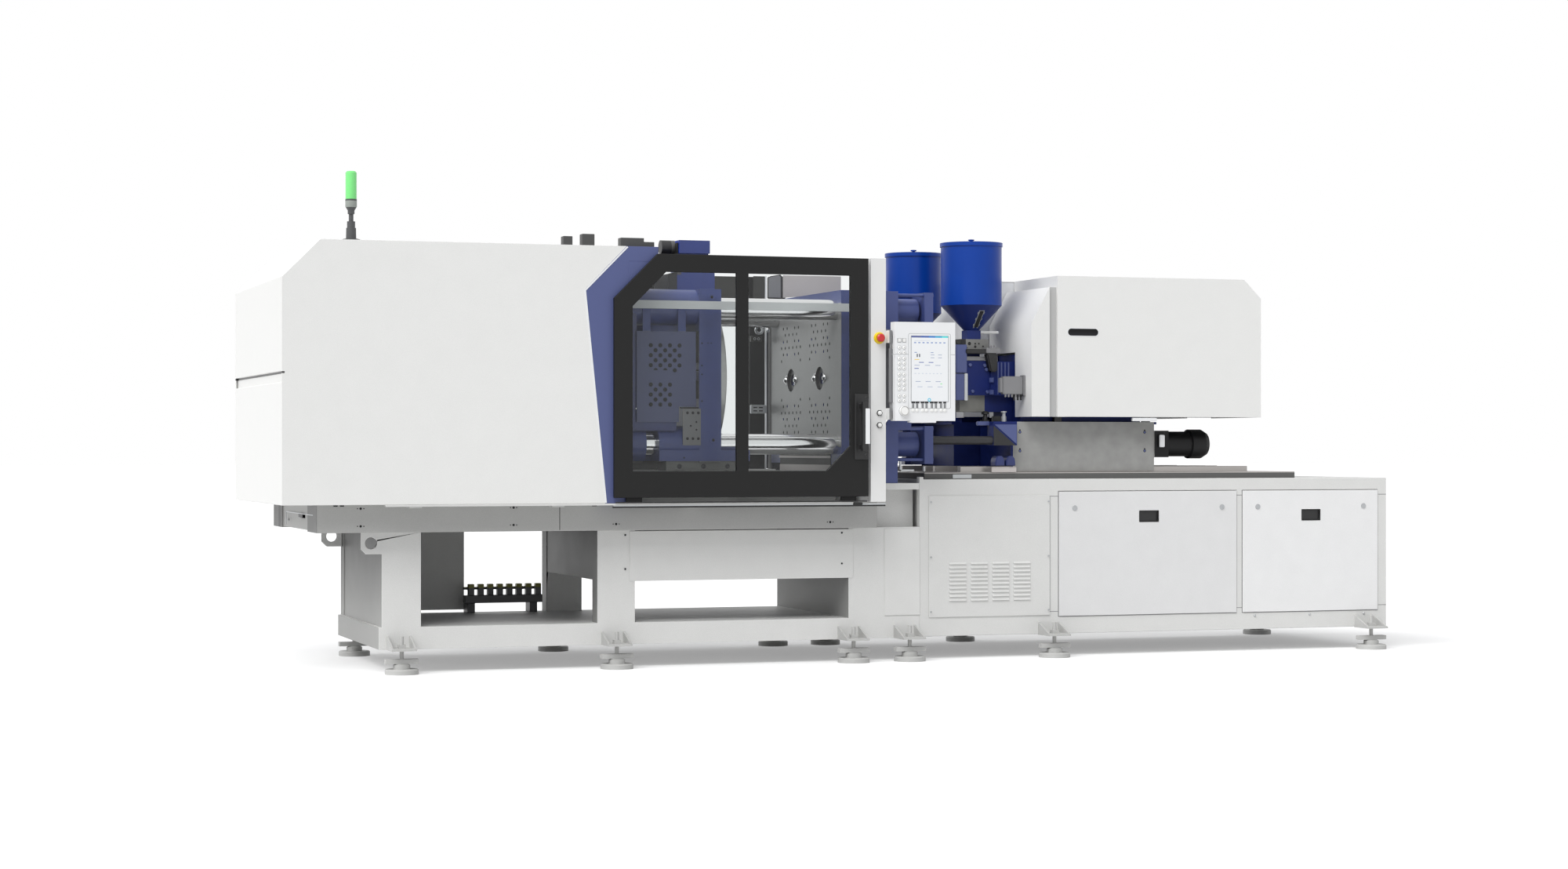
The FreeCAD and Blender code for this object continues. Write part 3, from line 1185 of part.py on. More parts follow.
def carriage(sign, shift):
    name = "unit_" + SIDE_NAMES[sign]

    def at(text):
        return f"{text} - ({shift})"

    axis = f"{sign} * nozzle_across"
    parts = [
        box(name + "_body", (at("carriage_left + 12"), at("carriage_right")),
            sides("carriage_outer", "carriage_inner", sign),
            ("rail_top + slide_gap", "carriage_top - 12")),
        box(name + "_top", (at("carriage_left"), at("carriage_right + 16")),
            sides("carriage_outer", "carriage_inner", sign), ("carriage_top - 12", "carriage_top")),
        box(name + "_panel", (at("carriage_left"), at("carriage_right")),
            sides("carriage_outer + side_panel_wall", "carriage_outer", sign),
            ("panel_low", "carriage_top")),
        box(name + "_drive", (at("barrel_flange + 12"), at("carriage_right - 60")),
            sides("nozzle_across + 170", "nozzle_across - 170", sign),
            ("carriage_top", f"{mid} + 130")),
        box(name + "_flange", (at("hopper_front_x + 71"), at("barrel_flange + 12")),
            (f"{axis} - 95", f"{axis} + 95"), (f"{mid} - 83", f"{mid} + 93")),
        box(name + "_feed", (at("hopper_front_x - 61"), at("hopper_front_x + 71")),
            (f"{axis} - 80", f"{axis} + 80"), (f"{mid} - 83", f"{mid} + 96")),
        box(name + "_saddle", (at("hopper_front_x - 90"), at("barrel_flange + 4")),
            (f"{axis} - 60", f"{axis} + 60"), (f"{mid} - 169", f"{mid} - 83")),
        box(name + "_foot", (at("carriage_left + 20"), at("barrel_flange + 60")),
            (f"{axis} - 60", f"{axis} + 60"), ("carriage_top", f"{mid} - 83")),
        box(name + "_throat", (at("hopper_front_x - 34"), at("hopper_front_x + 34")),
            (f"{axis} - 34", f"{axis} + 34"), (f"{mid} + 96", "gate_bottom")),
        box(name + "_block", (at("hopper_front_x - 79"), at("hopper_front_x + 76")),
            (f"{axis} - 55", f"{axis} + 55"), ("gate_bottom", "hopper_foot")),
    ]
    left = at("carriage_left - 119")
    right = at("carriage_left + 12")
    parts.append(prism(name + "_gusset", "XZ", [
        (left, f"{spindle_rise} - 26"), (right, f"{spindle_rise} - 26"), (right, "carriage_top"),
        (left, "carriage_top")],
        *sides(f"{spindle_across} + 26", "carriage_outer - 20", sign)))
    motor_y = f"{sign} * (carriage_outer - 56)"
    parts.append(box(name + "_motor_flange", (at("carriage_right"), at("carriage_right + 82")),
                     (f"{motor_y} - 66", f"{motor_y} + 66"), ("motor_height - 70", "motor_height + 70")))
    parts.append(turned(name + "_motor", "+X", (at("carriage_right + 82"), motor_y, "motor_height"), [
        ("0", "0"), ("66", "0"), ("66", "137"), ("77", "143"), ("77", "215"), ("60", "245"),
        ("0", "253")]))
    tools = [
        rod(name + "_screw_bore", "+X", (at("hopper_front_x - 62"), axis, mid), "450", "barrel_bore"),
        rod(name + "_throat_bore", "+Z", (at("hopper_front_x"), axis, mid),
            f"hopper_foot - {mid} + 1", "hopper_neck_radius - 2"),
        rod(name + "_spindle_bore", "+X",
            (at("carriage_left - 125"), f"{sign} * ({spindle_across})", spindle_rise), "340",
            "spindle_radius + pin_clear"),
    ]
    return cut(name, join(name + "_solid", parts), tools)


def barrel(sign, shift):
    name = "barrel_" + SIDE_NAMES[sign]
    end = f"(hopper_front_x - 61 - ({shift}) - nozzle_tip)"
    return turned(name, "+X", ("nozzle_tip", f"{sign} * nozzle_across", mid), [
        ("4", "0"), ("10", "0"), ("nozzle_radius", "24"), ("nozzle_radius", "230"),
        ("nozzle_radius + 14", "250"), ("nozzle_radius + 14", "300"), ("barrel_radius", "310"),
        ("barrel_radius", "330"), ("barrel_radius + 10", "330"), ("barrel_radius + 10", "405"),
        ("barrel_radius", "405"), ("barrel_radius", "420"), ("barrel_radius + 10", "420"),
        ("barrel_radius + 10", f"{end} - 20"), ("barrel_radius", f"{end} - 20"),
        ("barrel_radius", end), ("barrel_bore", end), ("barrel_bore", "330"), ("4", "300")])


def screw(sign, shift):
    name = "screw_" + SIDE_NAMES[sign]
    start = "nozzle_tip + 334"
    end = f"hopper_front_x + 380 - ({shift})"
    return turned(name, "+X", (start, f"{sign} * nozzle_across", mid), [
        ("0", "0"), ("barrel_bore - pin_clear", "20"),
        ("barrel_bore - pin_clear", f"({end}) - ({start})"), ("0", f"({end}) - ({start})")])


def hopper(sign, shift, radius, rim, shoulder):
    name = "hopper_" + SIDE_NAMES[sign]
    x = f"hopper_front_x - ({shift})"
    y = f"{sign} * nozzle_across"
    low = "hopper_foot + 46"
    neck = "hopper_neck_radius + 19"
    shell = turned(name + "_shell", "+Z", (x, y, "0"), [
        ("hopper_neck_radius", low), (neck, low), (radius, shoulder), (radius, f"{rim} - 14"),
        (f"{radius} + 5", f"{rim} - 14"), (f"{radius} + 5", rim), (f"{radius} - hopper_wall", rim),
        (f"{radius} - hopper_wall", f"{shoulder} + 2"), ("hopper_neck_radius", f"{low} + 8")])
    block = box(name + "_base", (f"{x} - 38", f"{x} + 38"), (f"{y} - 38", f"{y} + 38"),
                ("hopper_foot", f"{low} + 1"))
    bore = rod(name + "_bore", "+Z", (x, y, "hopper_foot - 1"), "60", "hopper_neck_radius - 2")
    slot = box(name + "_slot", (f"{x} - 28", f"{x} + 39"),
               (f"{y} - 24 - slide_gap", f"{y} + 24 + slide_gap"),
               ("hopper_foot + 36 - slide_gap", "hopper_foot + 40 + slide_gap"))
    node(cut(name, join(name + "_solid", [shell, block]), [bore, slot]), f"hopper_{SIDE_NAMES[sign]}")
    node(turned(name + "_lid", "+Z", (x, y, rim), [
        ("0", "0"), (f"{radius} + 5", "0"), (f"{radius} + 5", "6"), ("30", "12"), ("8", "12"),
        ("8", "18"), ("16", "20"), ("16", "26"), ("0", "28")]), f"hopper_lid_{SIDE_NAMES[sign]}")


def slide_gate(sign, shift):
    name = "gate_" + SIDE_NAMES[sign]
    x = f"hopper_front_x - ({shift})"
    y = f"{sign} * nozzle_across"
    plate = box(name + "_plate", (f"{x} - 27", f"{x} + 134"), (f"{y} - 24", f"{y} + 24"),
                ("hopper_foot + 36", "hopper_foot + 40"))
    grip = box(name + "_grip", (f"{x} + 134", f"{x} + 145"), (f"{y} - 24", f"{y} + 24"),
               ("hopper_foot + 32", "hopper_foot + 44"))
    return join(name, [plate, grip])


def shroud(sign, shift):
    name = "shroud_" + SIDE_NAMES[sign]

    def outline(inset, floor):
        left = f"shroud_left - ({shift}) + ({inset})"
        right = f"shroud_right - ({shift}) - ({inset})"
        top = f"shroud_top - ({inset})"
        slope = f"shroud_chamfer - 0.414 * ({inset})"
        return [(left, floor), (right, floor), (right, f"{top} - ({slope})"),
                (f"{right} - ({slope})", top), (left, top)]

    def nose(inset, floor):
        left = f"nose_left - ({shift}) + ({inset})"
        right = f"nose_right - ({shift})"
        return [(left, floor), (right, floor), (right, f"nose_high - ({inset})"),
                (left, f"nose_low - 0.5 * ({inset})")]

    skin = sides("shroud_half_width", "unit_split", sign)
    inner = sides("shroud_half_width - shroud_wall", "unit_split - 4", sign)
    main = prism(name + "_main", "XZ", outline("0", "shroud_bottom"), skin[0], skin[1])
    front = prism(name + "_nose", "XZ", nose("0", "shroud_bottom"), skin[0], skin[1])
    link_y = sides("shroud_half_width - 12", "unit_split", sign)
    link_x = (f"nose_right - ({shift})", f"shroud_left - ({shift})")
    bridge = box(name + "_bridge", link_x, link_y, ("shroud_bottom", "nose_high"))
    hollow_main = prism(name + "_hollow", "XZ", outline("shroud_wall", "shroud_bottom - 4"),
                        inner[0], inner[1])
    hollow_nose = prism(name + "_nose_hollow", "XZ", nose("shroud_wall", "shroud_bottom - 4"),
                        inner[0], inner[1])
    hollow_bridge = box(name + "_bridge_hollow",
                        (f"{link_x[0]} - 1", f"{link_x[1]} + shroud_wall + 1"),
                        sides("shroud_half_width - 12 - shroud_wall", "unit_split - 4", sign),
                        ("shroud_bottom - 4", "nose_high - shroud_wall"))
    mouth = box(name + "_mouth", (f"nose_left - ({shift}) - 1", f"nose_left - ({shift}) + shroud_wall + 1"),
                sides("nozzle_across + 120", "nozzle_across - 120", sign),
                ("shroud_bottom - 4", f"{mid} + 140"))
    shell = cut(name + "_shell", join(name + "_outer", [main, front, bridge]),
                [hollow_main, hollow_nose, hollow_bridge, mouth])
    grip_x = (f"shroud_left - ({shift}) + 62", f"shroud_left - ({shift}) + 226")
    cup = box(name + "_cup", (f"{grip_x[0]} - 4", f"{grip_x[1]} + 4"),
              sides("shroud_half_width - 2", "shroud_half_width - 24", sign),
              ("grip_low - 4", "grip_low + 38"))
    parts = [shell, cup]
    for number, x in enumerate((f"shroud_left - ({shift}) + 40", f"carriage_right - ({shift}) - 60"),
                               start=1):
        parts.append(box(f"{name}_bracket_{number}", (x, f"{x} + 40"),
                         sides("shroud_half_width - 2", "carriage_outer - 30", sign),
                         ("shroud_bottom", "shroud_bottom + 8")))
        parts.append(box(f"{name}_foot_{number}", (x, f"{x} + 40"),
                         sides("carriage_outer - 2", "carriage_outer - 30", sign),
                         ("carriage_top", "shroud_bottom + 4")))
    grip = box(name + "_grip", grip_x, sides("shroud_half_width + 1", "shroud_half_width - 20", sign),
               ("grip_low", "grip_low + 34"))
    return cut(name, join(name + "_solid", parts), [grip])


HOPPERS = {-1: ("hopper_front_radius", "hopper_front_rim", "hopper_front_shoulder"),
           1: ("hopper_rear_radius", "hopper_rear_rim", "hopper_rear_shoulder")}
for sign, shift in UNITS:
    name = SIDE_NAMES[sign]
    node(carriage(sign, shift), f"carriage_{name}")
    node(barrel(sign, shift), f"barrel_{name}")
    node(screw(sign, shift), f"screw_{name}")
    hopper(sign, shift, *HOPPERS[sign])
    node(slide_gate(sign, shift), f"slide_gate_{name}")
    node(shroud(sign, shift), f"injection_shroud_{name}")


# ------------------------------------------------------------ build and export
doc.recompute()
for item in doc.Objects:
    if "Invalid" in item.State or "Error" in item.State:
        raise RuntimeError(f"{item.Label} did not build: {item.State}")
os.makedirs("parts", exist_ok=True)
labels = set()
for item in nodes:
    shape = item.Shape
    if shape.isNull() or not shape.isValid() or not shape.Solids:
        raise RuntimeError(f"{item.Label} has no valid solid")
    if item.Label in labels:
        raise RuntimeError(f"{item.Label} is used twice")
    labels.add(item.Label)
    shape.exportStep(f"parts/{item.Label}.step")
    limits = shape.BoundBox
    print(item.Label, len(shape.Solids), round(shape.Volume / 1e6, 2),
          [round(v) for v in (limits.XMin, limits.XMax, limits.YMin, limits.YMax, limits.ZMin, limits.ZMax)])
print(len(nodes), "pieces")
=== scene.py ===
import bpy
import bmesh
import math
from mathutils import Matrix, Vector


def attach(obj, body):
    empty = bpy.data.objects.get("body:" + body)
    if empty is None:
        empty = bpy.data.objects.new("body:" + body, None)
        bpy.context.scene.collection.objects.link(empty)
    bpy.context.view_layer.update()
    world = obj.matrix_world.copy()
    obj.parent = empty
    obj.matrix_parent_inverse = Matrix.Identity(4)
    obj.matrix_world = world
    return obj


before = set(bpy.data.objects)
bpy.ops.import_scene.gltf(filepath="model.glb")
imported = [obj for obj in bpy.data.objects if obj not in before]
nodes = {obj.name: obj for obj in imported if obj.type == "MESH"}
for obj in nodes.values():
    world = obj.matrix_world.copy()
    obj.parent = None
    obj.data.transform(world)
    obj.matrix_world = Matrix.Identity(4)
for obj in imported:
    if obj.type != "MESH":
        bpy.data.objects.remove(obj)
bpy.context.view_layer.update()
scene = bpy.context.scene

# Looks of the injection moulding machine: paints for the CAD nodes, then the small pieces that
# ride on them, then stage and light. Shapes are in row millimetres (x to the injection end,
# y to the back, z up); bevels and the limits of paint zones are in metres.

MIX_SOCKETS = {"FLOAT": (2, 0), "RGBA": (6, 2)}     # first input and output of each data type
LOOKS_LEFT = -0.7       # a normal with less x than this faces the clamp end


# ---------------------------------------------------------------- materials
def linear(value):
    value = value / 255.0
    return value / 12.92 if value <= 0.04045 else ((value + 0.055) / 1.055) ** 2.4


def rgb(r, g, b):
    return (linear(r), linear(g), linear(b), 1.0)


def between(axis, low, high):
    return (axis, ">", low), (axis, "<", high)


class Nodes:
    """Emptied node tree of a material or the world, with short calls to fill it."""

    def __init__(self, owner):
        owner.use_nodes = True
        self.tree = owner.node_tree
        self.tree.nodes.clear()

    def put(self, socket, value):
        """Link an input to another node's output, or give it a fixed value."""
        if isinstance(value, bpy.types.NodeSocket):
            self.tree.links.new(value, socket)
        else:
            socket.default_value = value

    def add(self, kind, *first, **named):
        """New node; first fills its inputs in order, named by their names."""
        node = self.tree.nodes.new("ShaderNode" + kind)
        for socket, value in zip(node.inputs, first):
            self.put(socket, value)
        for name, value in named.items():
            self.put(node.inputs[name.replace("_", " ")], value)
        return node

    def math(self, kind, a, b):
        node = self.add("Math", a, b)
        node.operation = kind
        return node.outputs[0]

    def mix(self, kind, factor, a, b, blend="MIX"):
        node = self.add("Mix", factor)
        node.data_type = kind
        node.blend_type = blend
        first, result = MIX_SOCKETS[kind]
        self.put(node.inputs[first], a)
        self.put(node.inputs[first + 1], b)
        return node.outputs[result]

    def vary(self, noise, low, high):
        """Noise, which mostly lies between 0.3 and 0.7, spread from low to high."""
        return self.add("MapRange", noise, From_Min=0.3, From_Max=0.7, To_Min=low, To_Max=high).outputs[0]

    def in_sight(self):
        """1 for rays that the camera sees directly, in a reflection or through a pane."""
        path = self.add("LightPath").outputs
        direct = self.math("MAXIMUM", path["Is Camera Ray"], path["Is Glossy Ray"])
        return self.math("MAXIMUM", direct, path["Is Transmission Ray"])


class Paint(Nodes):
    """Material with colour zones, mottling, roughness variation and fine bump."""

    def __init__(self, name, colour, rough=0.45, metal=0.0, mottle=0.04, scale=9.0, grain=0.0,
                 grain_scale=900.0, stretch=(1, 1, 1), coat=0.0, spread=0.10, speck=0.0, spec=0.5,
                 rim=None):
        self.mat = bpy.data.materials.new(name)
        super().__init__(self.mat)
        sheen = {"Sheen_Weight": 0.6, "Sheen_Roughness": 0.3, "Sheen_Tint": rim} if rim else {}
        self.shader = self.add("BsdfPrincipled", Metallic=metal, Specular_IOR_Level=spec,
                               Coat_Weight=coat, Coat_Roughness=0.12, **sheen)
        self.add("OutputMaterial", self.shader.outputs[0])
        coords = self.add("TexCoord").outputs
        self.point = coords["Object"]
        self.normal = coords["Normal"]
        self.axes = dict(zip("xyz", self.add("SeparateXYZ", self.point).outputs))
        self.stretched = self.add("Mapping", self.point, Scale=stretch).outputs[0]
        self.noise = self.add("TexNoise", self.stretched, Scale=scale, Detail=6.0).outputs[0]
        self.colour = self.add("RGB").outputs[0]
        self.colour.default_value = colour
        self.rough = self.add("MapRange", self.noise, To_Min=max(0.03, rough - spread / 2),
                              To_Max=rough + spread / 2).outputs[0]
        self.metal = metal
        self.mottle = mottle
        self.speck = speck
        self.grain = grain
        self.grain_scale = grain_scale

    def inside(self, limits):
        """1 where every limit holds: (axis, '<' or '>', metres) or (a, b, c) for a*x + b*z > c."""
        mask = None
        for first, second, bound in limits:
            if isinstance(first, str):
                kind = "LESS_THAN" if second == "<" else "GREATER_THAN"
                step = self.math(kind, self.axes[first], bound)
            else:
                total = self.math("ADD", self.math("MULTIPLY", self.axes["x"], first),
                                  self.math("MULTIPLY", self.axes["z"], second))
                step = self.math("GREATER_THAN", total, bound)
            mask = step if mask is None else self.math("MULTIPLY", mask, step)
        return mask

    def zone(self, colour, limits, rough=None, metal=None):
        """Another colour, and roughness and metal where they are given, inside the limits."""
        mask = self.inside(limits)
        self.colour = self.mix("RGBA", mask, self.colour, colour)
        if rough is not None:
            self.rough = self.mix("FLOAT", mask, self.rough, rough)
        if metal is not None:
            self.metal = self.mix("FLOAT", mask, self.metal, metal)
        return self

    def shade_left(self, low, high, dark, pale):
        """Painted shade on faces that look to the clamp end, from dark at high to pale at low."""
        turned = self.add("SeparateXYZ", self.normal).outputs[0]
        mask = self.math("MULTIPLY", self.math("LESS_THAN", turned, LOOKS_LEFT),
                         self.inside([("z", "<", high)]))
        fade = self.add("MapRange", self.axes["z"], From_Min=low, From_Max=high).outputs[0]
        self.colour = self.mix("RGBA", mask, self.colour, self.mix("RGBA", fade, pale, dark))
        return self

    def done(self):
        """Put mottling and specks on the colour and grain on the surface; returns the material."""
        shade = self.vary(self.noise, 1.0 - self.mottle, 1.0 + self.mottle * 0.5)
        grey = self.add("CombineColor", shade, shade, shade).outputs[0]
        shown = self.mix("RGBA", 1.0, self.colour, grey, "MULTIPLY")
        if self.speck:
            dots = self.add("TexNoise", self.point, Scale=420.0, Detail=2.0).outputs[0]
            scaled = self.add("VectorMath", shown)
            scaled.operation = "SCALE"
            self.put(scaled.inputs["Scale"], self.vary(dots, 1.0 - self.speck, 1.0 + self.speck))
            shown = scaled.outputs[0]
        self.put(self.shader.inputs["Base Color"], shown)
        self.put(self.shader.inputs["Roughness"], self.rough)
        self.put(self.shader.inputs["Metallic"], self.metal)
        if self.grain:
            fine = self.add("TexNoise", self.stretched, Scale=self.grain_scale, Detail=3.0).outputs[0]
            bump = self.add("Bump", Strength=self.grain, Distance=0.001, Height=fine)
            self.put(self.shader.inputs["Normal"], bump.outputs[0])
        return self.mat


BLUE = rgb(62, 74, 128)
WHITE = rgb(224, 224, 222)
FRAME = rgb(216, 216, 214)
BLACK = rgb(22, 22, 23)
PLASTIC = rgb(229, 230, 231)
CHROME = rgb(226, 226, 226)
CREAM_COAT = dict(mottle=0.012, grain=0.10, grain_scale=700, speck=0.03, rough=0.42)
FRAME_COAT = dict(mottle=0.02, grain=0.22, grain_scale=520, speck=0.06)
ENAMEL = dict(rough=0.40, mottle=0.05, scale=14, grain=0.16, grain_scale=70, coat=0.12)
SMOOTH = dict(rough=0.36, mottle=0.01, grain=0.05, grain_scale=900)
GROUND = dict(metal=1.0, mottle=0.03, scale=40, grain=0.03, grain_scale=400, stretch=(0.2, 4, 4), spread=0.05)

mats = {
    "cover": Paint("cover_paint", WHITE, **CREAM_COAT)
    .zone(rgb(75, 84, 129), [(1.0, 0.101, -1.3475), (1.0, -0.986, -3.334), ("x", ">", -1.56)])
    # painted shadow: the dark band across the cover's clamp end stands for the shadow along the top of its
    # recess
    .zone(rgb(70, 70, 70), [("x", "<", -2.9595), *between("z", 1.4165, 1.4265)])
    .zone(rgb(66, 66, 66), [("z", ">", 2.0425)], rough=0.5).done(),
    "shroud": Paint("shroud_paint", WHITE, **CREAM_COAT)
    .zone(rgb(178, 178, 177), [*between("x", 0.9985, 1.0415), ("y", "<", 0)])
    .zone(rgb(178, 178, 177), [*between("x", 0.8525, 0.8955), ("y", ">", 0)])
    .zone(BLACK, [("z", "<", 1.2318)])
    .zone(BLACK, [*between("x", 1.098, 1.274), *between("z", 1.6485, 1.6895),
                  *between("y", -0.5585, -0.53)]).done(),
    "frame": Paint("frame_paint", FRAME, rough=0.48, **FRAME_COAT).done(),
    # painted shade: the base's faces toward the clamp end darken under the cover's overhang, darkest at the
    # top
    "base": Paint("base_paint", FRAME, rough=0.48, **FRAME_COAT)
    .shade_left(0.20, 0.68, rgb(66, 66, 65), rgb(152, 152, 150)).done(),
    # painted shade: the beam's grey is darker than the frame's for the shade under the cover's overhang, and
    # darker still on its clamp end
    "beam": Paint("beam_paint", rgb(172, 172, 170), rough=0.5, **FRAME_COAT)
    .zone(rgb(108, 108, 107), [("x", "<", -2.7915)]).done(),
    "cabinet": Paint("cabinet_paint", rgb(212, 212, 210), rough=0.5, mottle=0.02, grain=0.16,
                     grain_scale=600, speck=0.05).done(),
    # painted light: the right-hand cabinet door (x > 2.09) is a lighter copy of the same paint, where more
    # light falls
    "doors": Paint("cabinet_door_paint", rgb(216, 216, 216), rough=0.46, mottle=0.02, grain=0.12,
                   grain_scale=600, speck=0.03)
    .zone(rgb(226, 226, 226), [("x", ">", 2.09)]).done(),
    "door": Paint("door_paint", rgb(17, 17, 17), rough=0.62, mottle=0.05, grain=0.12, grain_scale=700,
                  spec=0.3).done(),
    "blue": Paint("enamel_blue", BLUE, **ENAMEL).done(),
    "hopper": Paint("hopper_enamel", rgb(0, 56, 146), rough=0.36, mottle=0.05, coat=0.05, spec=0.25,
                    rim=rgb(134, 136, 170), grain=0.04, grain_scale=300)
    .zone(rgb(22, 40, 104), [("z", "<", 1.789)])
    .zone(rgb(22, 40, 104), [("z", "<", 1.812), ("y", "<", 0)]).done(),
    "steel": Paint("machined_steel", rgb(164, 164, 162), rough=0.34, metal=0.85, mottle=0.08, scale=30,
                   grain=0.12, grain_scale=240, stretch=(1, 6, 1)).done(),
    "dark_steel": Paint("blackened_steel", rgb(52, 52, 54), rough=0.46, metal=0.4, mottle=0.10,
                        scale=24, grain=0.20, grain_scale=300).done(),
    "chrome": Paint("ground_chrome", CHROME, rough=0.13, **GROUND).done(),
    "black": Paint("black_plastic", rgb(24, 24, 25), rough=0.42, mottle=0.06, grain=0.14,
                   grain_scale=800).done(),
    "white": Paint("panel_plastic", PLASTIC, **SMOOTH).done(),
    "panel": Paint("panel_panel_plastic", PLASTIC, **SMOOTH)
    .zone(rgb(112, 112, 114), [("x", "<", 0.0212)]).done(),
    "zinc": Paint("zinc_plate", rgb(176, 178, 180), rough=0.36, metal=0.75, mottle=0.10, scale=60,
                  grain=0.10, grain_scale=500).done(),
    "red": Paint("stop_red", rgb(190, 28, 30), rough=0.30, mottle=0.04, coat=0.3).done(),
    "yellow": Paint("stop_yellow", rgb(232, 200, 30), rough=0.35, mottle=0.04).done(),
    "green": Paint("lens_green", rgb(122, 224, 128), rough=0.25, mottle=0.06, coat=0.4).done(),
    "rail": Paint("ground_rail", rgb(172, 168, 165), rough=0.30, metal=0.6, mottle=0.06, scale=20,
                  grain=0.06, grain_scale=300, stretch=(0.1, 6, 6))
    .zone(rgb(92, 92, 91), [("z", "<", 0.9405)], rough=0.45, metal=0.3).done(),
    "blue_mark": Paint("mark_cyan", rgb(70, 190, 220), rough=0.3, mottle=0.02).done(),
    "rails": Paint("rail_set_paint", rgb(40, 40, 41), rough=0.45, mottle=0.04, grain=0.1)
    .zone(rgb(214, 217, 217), [*between("z", 1.745, 1.80), ("y", "<", -0.57), ("y", ">", -0.785)],
          rough=0.4)
    .zone(rgb(205, 205, 203), [("z", "<", 0.8055), ("y", "<", 0.0)], rough=0.45).done(),
    "guard": Paint("guard_paint", rgb(78, 84, 116), rough=0.42, mottle=0.03, grain=0.06)
    .zone(BLUE, [("z", ">", 1.6465)])
    .zone(rgb(112, 112, 113), [("x", ">", -0.9725), ("z", "<", 1.2655)], rough=0.35, metal=0.2).done(),
    "tower": Paint("tower_plastic", rgb(74, 75, 76), rough=0.4, mottle=0.04)
    .zone(rgb(150, 156, 150), [*between("z", 2.196, 2.226)]).done(),
    "foot": Paint("foot_casting", rgb(184, 184, 182), rough=0.5, mottle=0.05, grain=0.2,
                  grain_scale=260).done(),
    "valves": Paint("valve_paint", rgb(84, 84, 86), rough=0.45, metal=0.2, mottle=0.08)
    .zone(rgb(112, 110, 44), [("z", ">", 0.348)], rough=0.4).done(),
    "hole": Paint("hole_dark", rgb(14, 14, 15), rough=0.7, mottle=0.2).done(),
    "light_metal": Paint("anodised_light", rgb(196, 199, 201), rough=0.36, metal=0.35, mottle=0.03,
                         scale=20, stretch=(0.1, 5, 5)).done(),
    "pearl": Paint("key_plastic", rgb(234, 234, 232), rough=0.32, mottle=0.01, coat=0.2).done(),
    "sheet": Paint("room_sheet", rgb(44, 44, 41), rough=0.5, mottle=0.06, grain=0.1).done(),
    "pale": Paint("pale_metal", rgb(190, 184, 181), rough=0.4, metal=0.2, mottle=0.04, grain=0.08,
                  grain_scale=500).done(),
    "shade": Paint("recess_shade", rgb(26, 26, 28), rough=0.6, mottle=0.05, spec=0.2)
    .zone(rgb(14, 14, 15), [("z", ">", 1.668)]).done(),
    "mid_grey": Paint("cast_grey", rgb(128, 128, 130), rough=0.45, metal=0.2, mottle=0.04, grain=0.14,
                      grain_scale=420).done(),
    "unit_blue": Paint("unit_enamel", rgb(72, 82, 130), rough=0.4, mottle=0.04, grain=0.10,
                       grain_scale=260, coat=0.12).done(),
    "cast_blue": Paint("casting_enamel", rgb(26, 40, 98), rough=0.36, mottle=0.12, scale=14, grain=0.3,
                       grain_scale=180, coat=0.2).done(),
}


def carriage(name, shift, side):
    """Carriage of one injection unit: blue casting, grey side panel, black motor, bare feed block."""
    paint = Paint(name, rgb(22, 36, 96), rough=0.44, mottle=0.12, scale=14, grain=0.34, grain_scale=160,
                  spec=0.22)
    outer = ("y", "<", -0.4375) if side < 0 else ("y", ">", 0.4375)
    paint.zone(rgb(160, 160, 158),
               [*between("x", 0.8445 + shift, 1.6515 + shift), ("z", "<", 1.2075), outer], rough=0.45)
    paint.zone(BLACK, [("x", ">", 1.6675 + shift)], rough=0.4)
    paint.zone(BLACK, [("x", ">", 1.6512 + shift), ("z", "<", 1.194)], rough=0.4)
    paint.zone(rgb(126, 126, 124), [("z", ">", 1.584), ("x", "<", 0.8 + shift)], rough=0.42, metal=0.3)
    paint.zone(rgb(52, 52, 54), [("z", ">", 1.584), ("x", "<", 0.647 + shift)], rough=0.42, metal=0.3)
    paint.zone(rgb(126, 126, 121), [("z", "<", 1.3448), ("z", ">", 1.2588), ("x", "<", 0.7505 + shift)],
               rough=0.45, metal=0.2)
    return paint.done()


mats["carriage"] = carriage("carriage_front_enamel", 0.0, -1)
mats["carriage_rear"] = carriage("carriage_rear_enamel", -0.146, 1)
mats["moving"] = (
    Paint("moving_enamel", BLUE, **ENAMEL)
    .zone(rgb(96, 97, 94), [("z", "<", 1.0065)], rough=0.42, metal=0.3).done())
mats["drive"] = (
    Paint("drive_enamel", rgb(50, 64, 126), rough=0.36, mottle=0.06, scale=14, grain=0.2, grain_scale=70,
          coat=0.15)
    .zone(rgb(12, 50, 150), [("x", "<", -0.8495), ("z", ">", 2.02)])
    .zone(rgb(84, 84, 84), [("x", "<", -0.8525), ("z", ">", 1.95)], rough=0.4, metal=0.3)
    .zone(rgb(40, 40, 42), [("x", "<", -0.874), ("z", ">", 1.87)], rough=0.45).done())
mats["platen"] = (
    Paint("platen_enamel", BLUE, **ENAMEL)
    .zone(rgb(126, 126, 125), [("x", "<", -0.1395), *between("z", 1.075, 1.80)],
          rough=0.38, metal=0.35).done())
mats["bars"] = (
    Paint("tie_bar_chrome", CHROME, rough=0.12, **GROUND)
    .zone(BLUE, [("x", ">", 0.1625)], rough=0.4, metal=0.0).done())
mats["post"] = (
    Paint("post_paint", rgb(220, 220, 219), rough=0.34, mottle=0.012, grain=0.06, grain_scale=700)
    .zone(rgb(228, 196, 26), [("y", "<", -0.8055), *between("z", 1.58, 1.65), ("x", "<", 0.001)], rough=0.35)
    .zone(rgb(120, 121, 122), [("x", ">", 0.0025)], rough=0.4).done())


